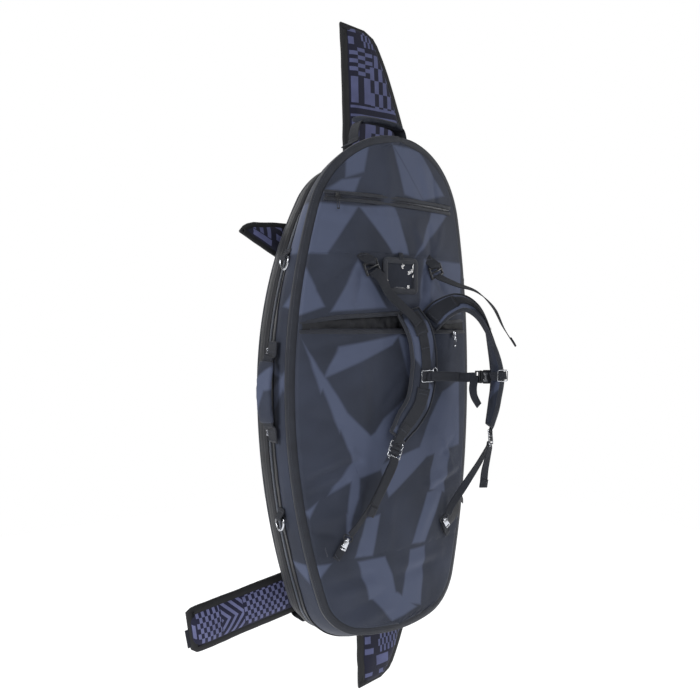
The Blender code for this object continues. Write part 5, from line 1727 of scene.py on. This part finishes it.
def pillow(name, stations, thickness, finish, replaced, lip=0.0036, rim=0.011, wrinkle=0.0018):
    """A padded sleeve between pairs of edge points, full in the middle and thin at its edges. Its
    print runs across from the first edge and along from the first pair."""
    rows, marks = [], []
    run = 0.0
    count = 34
    for i, (first, last) in enumerate(stations):
        run += (first - stations[i - 1][0]).length if i else 0.0
        wide = (last - first).length
        end = min(i, len(stations) - 1 - i) / 4
        full = lip + (thickness / 2 - lip) * min(1.0, end) ** 0.6
        row, line = [], []
        for face in (1, -1):
            for k in range(count):
                t = k / count if face > 0 else 1 - k / count
                point = first.lerp(last, t)
                rise = max(0.0, min(1.0, (min(t, 1 - t) * wide - rim) / 0.03))
                swell = lip + (full - lip) * (1 - (1 - rise) ** 2.4) ** 0.8
                swell += wrinkle * (1 - abs(2 * t - 1) ** 6) * min(1.0, end / 2) * (
                    noise.noise(Vector((point.x * 14, face * 3.0, point.z * 14)))
                    + 0.5 * noise.noise(Vector((point.x * 42, face * 5.0, point.z * 30))))
                row.append(point + Vector((0, -face * swell, 0)))
                line.append((t * wide, run))
        rows.append(row + [row[0]])
        marks.append(line + [line[0]])
    mesh = sealed(loft(name, rows, marks))
    made = piece(name, mesh, finish, "root", replaced)
    return made


def sleeve_tape(name, stations, reach, half):
    """Tape folded over a sleeve's edge: reach is how far it covers each face, half its half depth."""
    loop = [first for first, _ in stations] + [last for _, last in reversed(stations)]
    outs = []
    for i in range(len(loop)):
        heading = (loop[(i + 1) % len(loop)] - loop[i - 1]).normalized()
        outs.append(Vector((heading.z, 0, -heading.x)))
    middle = sum(loop, Vector()) / len(loop)
    if sum((p - middle).dot(o) for p, o in zip(loop, outs)) < 0:
        outs = [-o for o in outs]
    section = [(-half * 1.42, -reach), (-half * 1.5, -reach + 0.0008), (-half * 1.34, -reach * 0.5),
               (-half * 1.18, -0.0016), (-half * 0.7, 0.0008), (0.0, 0.0014), (half * 0.7, 0.0008),
               (half * 1.18, -0.0016), (half * 1.34, -reach * 0.5), (half * 1.5, -reach + 0.0008),
               (half * 1.42, -reach), (half * 0.4, -reach * 0.8), (-half * 0.4, -reach * 0.8)]
    return strip(name, loop, outs, section, sleeve_binding, "root", closed=True)


# Black ribbed tape that frames each sleeve, its rib crests painted lighter and grooves darker as painted
# light and shade.
sleeve_binding = ribbed(new_finish("black_grosgrain_sleeve_tape", 0.68), 0.0018, "#0c0d10", "#1e2027", 0.0002,
                        0.3)
sleeve_low, sleeve_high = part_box("long_wing_sleeve")
sleeve_y = (sleeve_low.y + sleeve_high.y) / 2
sleeve_middle = Vector((0.0065, sleeve_y, FOOT_Z + 0.566))
sleeve_up = Vector((-0.034, 0, 1)).normalized()
sleeve_across = Vector((1, 0, 0.034)).normalized()
long_stations = []
for i in range(97):
    s = i / 48 - 1
    a = abs(s)
    wide = 0.09 + 0.145 * (1 - a ** 3)
    round_off = max(0.0, (a - 0.955) / 0.045)
    wide -= 0.02 * round_off ** 3.0
    drop = 0.007 * max(0.0, (a - 0.88) / 0.12) ** 2
    ripple = 0.0022 * noise.noise(Vector((s * 9, 2.2, 0.7))) + 0.0022 * noise.noise(Vector((s * 26, 1.1,
                                                                                            4.0))) * a
    straight = sleeve_middle + sleeve_up * (0.787 * s) + sleeve_across * (0.0026 + ripple)
    bent = sleeve_middle + sleeve_up * (0.787 * s - math.copysign(drop, s)) + sleeve_across * (
        wide - 0.0024 + 0.0016 * noise.noise(Vector((s * 12, 7.1, 0.2))))
    long_stations.append((straight, bent))
# Lilac blocks of bars and checks on near-black violet.
geometric_print = geometric_cloth(
    "printed_sleeve_cloth",
    ((0.016, 0.15, 0.262, 0.268, 0, 0), (0.018, 0.036, 0.196, 0.256, 0, 0),
     (0.053, 0.071, 0.196, 0.256, 0, 0),
     (0.071, 0.15, 0.138, 0.262, 0.0125, 0.03), (0.016, 0.079, 0.128, 0.192, 0.021, 0.0092),
     (0.016, 0.03, 0.104, 0.122, 0, 0), (0.016, 0.038, 0.078, 0.092, 0, 0),
     (0.052, 0.112, 0.076, 0.124, 0.0058, 0.0165), (0.046, 0.082, 0.044, 0.07, 0, 0),
     (0.12, 0.132, 0.04, 0.134, 0, 0), (0.112, 0.132, 0.036, 0.046, 0, 0),
     (0.016, 0.036, 0.02, 0.03, 0, 0), (0.056, 0.108, 0.006, 0.03, 0.013, 0.012),
     (0.142, 0.16, 0.014, 0.124, 0.018, 0.012), (0.166, 0.222, 0.02, 0.24, 0.014, 0.02)),
    (), "#1d1e31", "#5f648b", 0.275)
pillow("long_sleeve_body", long_stations, 0.027, geometric_print, ("long_wing_sleeve",))
sleeve_tape("long_sleeve_tape", long_stations, 0.014, 0.0042)

mast_low, mast_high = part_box("mast_sleeve")
mast_y = (mast_low.y + mast_high.y) / 2
lean = math.radians(8.0)
mast_along = Vector((math.cos(lean), 0, math.sin(lean)))
mast_up = Vector((-math.sin(lean), 0, math.cos(lean)))
mast_middle = Vector((-0.018, mast_y, FOOT_Z + 0.06))
mast_stations = []
for i in range(73):
    s = i / 36 - 1
    ripple = 0.003 * noise.noise(Vector((s * 5, 8.2, 0.7))) + 0.0012 * noise.noise(Vector((s * 21, 1.9, 4.0)))
    trim = 0.01 * max(0.0, (abs(s) - 0.96) / 0.04) ** 2
    low_point = mast_middle + mast_along * (0.367 * s) - mast_up * (0.049 - trim + 0.5 * ripple)
    high_point = mast_middle + mast_along * (0.367 * s) + mast_up * (0.049 - 0.6 * trim - 0.6 * abs(ripple))
    mast_stations.append((low_point, high_point))
# The same inks, a little lighter, with chevrons between rows of checks.
mast_print = geometric_cloth(
    "printed_mast_sleeve_cloth",
    ((0.016, 0.088, 0.02, 0.072, 0.0115, 0.0062), (0.018, 0.084, 0.128, 0.236, 0.0105, 0.0072),
     (0.03, 0.06, 0.008, 0.016, 0, 0)),
    ((0.016, 0.086, 0.074, 0.126, 0.0175, 0.85),), "#22233a", "#7377a1", 0.245)
pillow("mast_sleeve_body", mast_stations, 0.027, mast_print, ("mast_sleeve",))
sleeve_tape("mast_sleeve_tape", mast_stations, 0.014, 0.0042)
tab_spot = mast_middle - mast_along * 0.3695
band("mast_sleeve_tab", [tab_spot - mast_up * 0.014 + Vector((0.01, -0.002, 0)), tab_spot - mast_up * 0.014,
                         tab_spot - mast_up * 0.014 - mast_along * 0.005], 0.04, (0, -1, 0), "root", steps=3,
     thickness=0.003)

wing_low, wing_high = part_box("small_wing_sleeve")
wing_y = (wing_low.y + wing_high.y) / 2
WING_TOP = ((-0.25, 0.03), (-0.238, 0.046), (-0.215, 0.0535), (-0.12, 0.0585), (0.12, 0.0585),
            (0.215, 0.0535),
            (0.238, 0.046), (0.25, 0.03))
WING_FOOT = ((-0.25, 0.028), (-0.16, -0.021), (-0.08, -0.054), (0.0, -0.066), (0.08, -0.054), (0.16, -0.021),
             (0.25, 0.028))


def level_at(line, x):
    """Height at x of a line given by its corners."""
    for (x0, z0), (x1, z1) in zip(line, line[1:]):
        if x0 <= x <= x1:
            return z0 + (z1 - z0) * (x - x0) / (x1 - x0)
    return line[-1][1]


wing_stations = []
for i in range(61):
    x = -0.249 + 0.498 * i / 60
    foot, head = level_at(WING_FOOT, x), level_at(WING_TOP, x)
    ripple = 0.0016 * noise.noise(Vector((x * 22, 3.1, 0.4)))
    place = Vector((-0.012 + x, wing_y, FOOT_Z + 0.826))
    wing_stations.append((place + Vector((0, 0, foot + 0.0012 + abs(ripple))),
                          place + Vector((0, 0, max(head - 0.0012, foot + 0.004) + ripple))))
# The same inks in short bars and one field of checks.
wing_print = geometric_cloth(
    "printed_small_wing_cloth",
    ((0.028, 0.1, 0.022, 0.09, 0.1, 0.01), (0.014, 0.026, 0.034, 0.084, 0, 0),
     (0.02, 0.11, 0.096, 0.2, 0.014, 0.018)), (), "#1d1e2f", "#5d6188", 0.245)
pillow("small_wing_body", wing_stations, 0.021, wing_print, ("small_wing_sleeve",), lip=0.003, rim=0.008,
       wrinkle=0.0012)
sleeve_tape("small_wing_tape", wing_stations, 0.0105, 0.0034)


# Back panel and linings ----------------------------------------------------------------------
# The back is black coated polyester over 5 mm foam, quilted in long channels. Inside, both halves
# are lined with grey brushed cloth bonded to foam and stitched in diamonds.


def lined(name, ring, depth, lift, rows, columns, finish, body, replaced=(), thickness=0.0014,
          side=1.0):
    """Cloth spread inside an outline; lift(x, z, edge) stands it off along side."""
    top, foot = max(p.y for p in ring), min(p.y for p in ring)
    lines, prints = [], []
    for i in range(rows + 1):
        share = i / rows
        level = foot + (top - foot) * (0.5 - 0.5 * math.cos(math.pi * share)) * 0.9996 + 0.0002
        wide = ring_width(ring, level)
        line, marks = [], []
        for j in range(columns + 1):
            u = 2 * j / columns - 1
            x = wide * u
            edge = min(1.0, (wide - abs(x)) / 0.012, (level - foot) / 0.012, (top - level) / 0.012)
            line.append(Vector((x, depth(x) + side * lift(x, level - FOOT_Z, max(edge, 0.0)), level)))
            marks.append((x, level - FOOT_Z))
        lines.append(line)
        prints.append(marks)
    made = piece(name, loft(name, lines, prints), finish, body, replaced)
    return thicken(made, thickness, 0.0)


# Black cloth with the dull shine of a coating, mottled where it has rubbed.
coated_cloth = mottled(new_finish("black_coated_polyester", 0.5), "#0f1014", "#23252d", 9.0, 5.0, 0.0003,
                       0.35,
                       THREAD_PITCH)
back_ring = grown(ZIP_RIM, -0.0105)
panel_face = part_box("back_panel")[1].y


def channels(x, z, edge):
    """Long quilted channels 62 mm apart that fade out at the edge."""
    ridge = abs(math.sin(math.pi * x / 0.062)) ** 0.5
    return edge ** 0.5 * (0.0008 + 0.0016 * ridge) + 0.0006 * noise.noise(Vector((x * 18, z * 9, 2.0)))


lined("back_panel_cloth", back_ring, lambda x: panel_face - 0.002, channels, 120, 96, coated_cloth, "root",
      ("back_panel",))
for k in range(-3, 4):
    x = k * 0.062
    levels = [p for p in (0.002 + 0.006 * n for n in range(170)) if ring_width(back_ring,
                                                                               FOOT_Z + p) > abs(x) + 0.012]
    if levels:
        path = [Vector((x, panel_face - 0.0004, FOOT_Z + levels[0])),
                Vector((x, panel_face - 0.0004, FOOT_Z + levels[-1]))]
        path = [path[0].lerp(path[1], n / 40) for n in range(41)]
        stitches(f"back_channel_stitching_{k + 3}", path, [Vector((0, 1, 0))] * len(path), thread, "root",
                 length=0.0044, gap=0.002, width=0.0008)

# Mid grey with a soft nap that lightens at its edges.
brushed_lining = mottled(new_finish("grey_brushed_lining", 0.85, Sheen_Weight=0.35), "#50535a", "#676a72",
                         300.0,
                         4.0, 0.0006, 0.5)


def diamonds(x, z, edge):
    """Puffed diamonds 76 mm across between lines of stitching."""
    ridge = abs(math.sin(math.pi * (x + z) / 0.076) * math.sin(math.pi * (x - z) / 0.076)) ** 0.42
    return edge ** 0.5 * (0.0006 + 0.0036 * ridge)


foam_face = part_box("back_foam")[0].y
pad = lined("back_lining", grown(ZIP_RIM, -0.017), lambda x: foam_face + 0.0036, diamonds, 150, 84,
            brushed_lining,
            "root", ("back_foam",), side=-1.0)
pad = lined("lid_lining", grown(FRONT_RIM, -0.018), lambda x: bow(x) + 0.0068, diamonds, 150, 84,
            brushed_lining,
            "lid", thickness=0.0012)


# Sleeve straps -------------------------------------------------------------------------------
# Two 25 mm straps hold the long sleeve to the back and close with side-release buckles. Two webbing
# loops carry the mast sleeve and the small wing's sleeve behind it.

for level, z in (("upper", 0.655), ("lower", 0.33)):
    low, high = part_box(f"sleeve_strap_{level}")
    behind = high.y - 0.001
    panel_y = 0.105
    path = [(low.x + 0.001, panel_y, FOOT_Z + z), (-0.15, panel_y + 0.001, FOOT_Z + z),
            (-0.127, panel_y + 0.005, FOOT_Z + z),
            (-0.08, panel_y + 0.005, FOOT_Z + z), (-0.045, panel_y + 0.001, FOOT_Z + z),
            (-0.018, panel_y + 0.013, FOOT_Z + z),
            (-0.002, behind - 0.001, FOOT_Z + z), (0.03, behind + 0.0006, FOOT_Z + z),
            (0.12, behind + 0.001, FOOT_Z + z), (high.x, behind, FOOT_Z + z)]
    band(f"sleeve_strap_web_{level}", path, 0.025, (0, 1, 0), "root", replaced=(f"sleeve_strap_{level}",),
         steps=6)
    socket_low, socket_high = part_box(f"sleeve_{level}_socket")
    side_release(f"sleeve_buckle_{level}", f"sleeve_{level}",
                 Vector((-0.105, (socket_low.y + socket_high.y) / 2, FOOT_Z + z)),
                 Vector((0, 1, 0)), Vector((-1, 0, 0)), 0.025, "root", f"sleeve_{level}_plug")
    wide = ring_width(back_ring, FOOT_Z + z)
    for side, x in (("left", -wide + 0.012), ("right", 0.198)):
        face = panel_y + 0.0012 if side == "left" else behind + 0.0012
        bar_tacks(f"sleeve_strap_tacks_{level}_{side}", [((x, face, FOOT_Z + z), (0, 0, 1), (0, 1, 0)),
                                                         ((x - 0.012 if side == "right" else x + 0.012, face,
                                                           FOOT_Z + z),
                                                          (0, 0, 1), (0, 1, 0))], "root", length=0.021)
for prefix in ("mast", "small_wing"):
    low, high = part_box(f"{prefix}_loop")
    x = (low.x + high.x) / 2
    near_y, far_y = 0.105, high.y - 0.0014
    foot, head = low.z + 0.0014, high.z - 0.0014
    path = [(x, near_y, foot + 0.01), (x, near_y + 0.008, foot + 0.001), (x, near_y + 0.028, foot - 0.0002),
            (x, far_y - 0.014, foot),
            (x, far_y - 0.001, foot + 0.01), (x, far_y + 0.0004, foot + 0.03),
            (x, far_y + 0.0004, head - 0.03),
            (x, far_y - 0.001, head - 0.01), (x, far_y - 0.014, head), (x, near_y + 0.028, head + 0.0002),
            (x, near_y + 0.008, head - 0.001),
            (x, near_y, head - 0.01)]
    middle = Vector((x, (near_y + far_y) / 2, (foot + head) / 2))
    outs = []
    for point in path:
        way = Vector(point) - middle
        outs.append((0, way.y, way.z * 0.8))
    band(f"{prefix}_loop_web", path, 0.025, outs, "root", replaced=(f"{prefix}_loop",), steps=5)
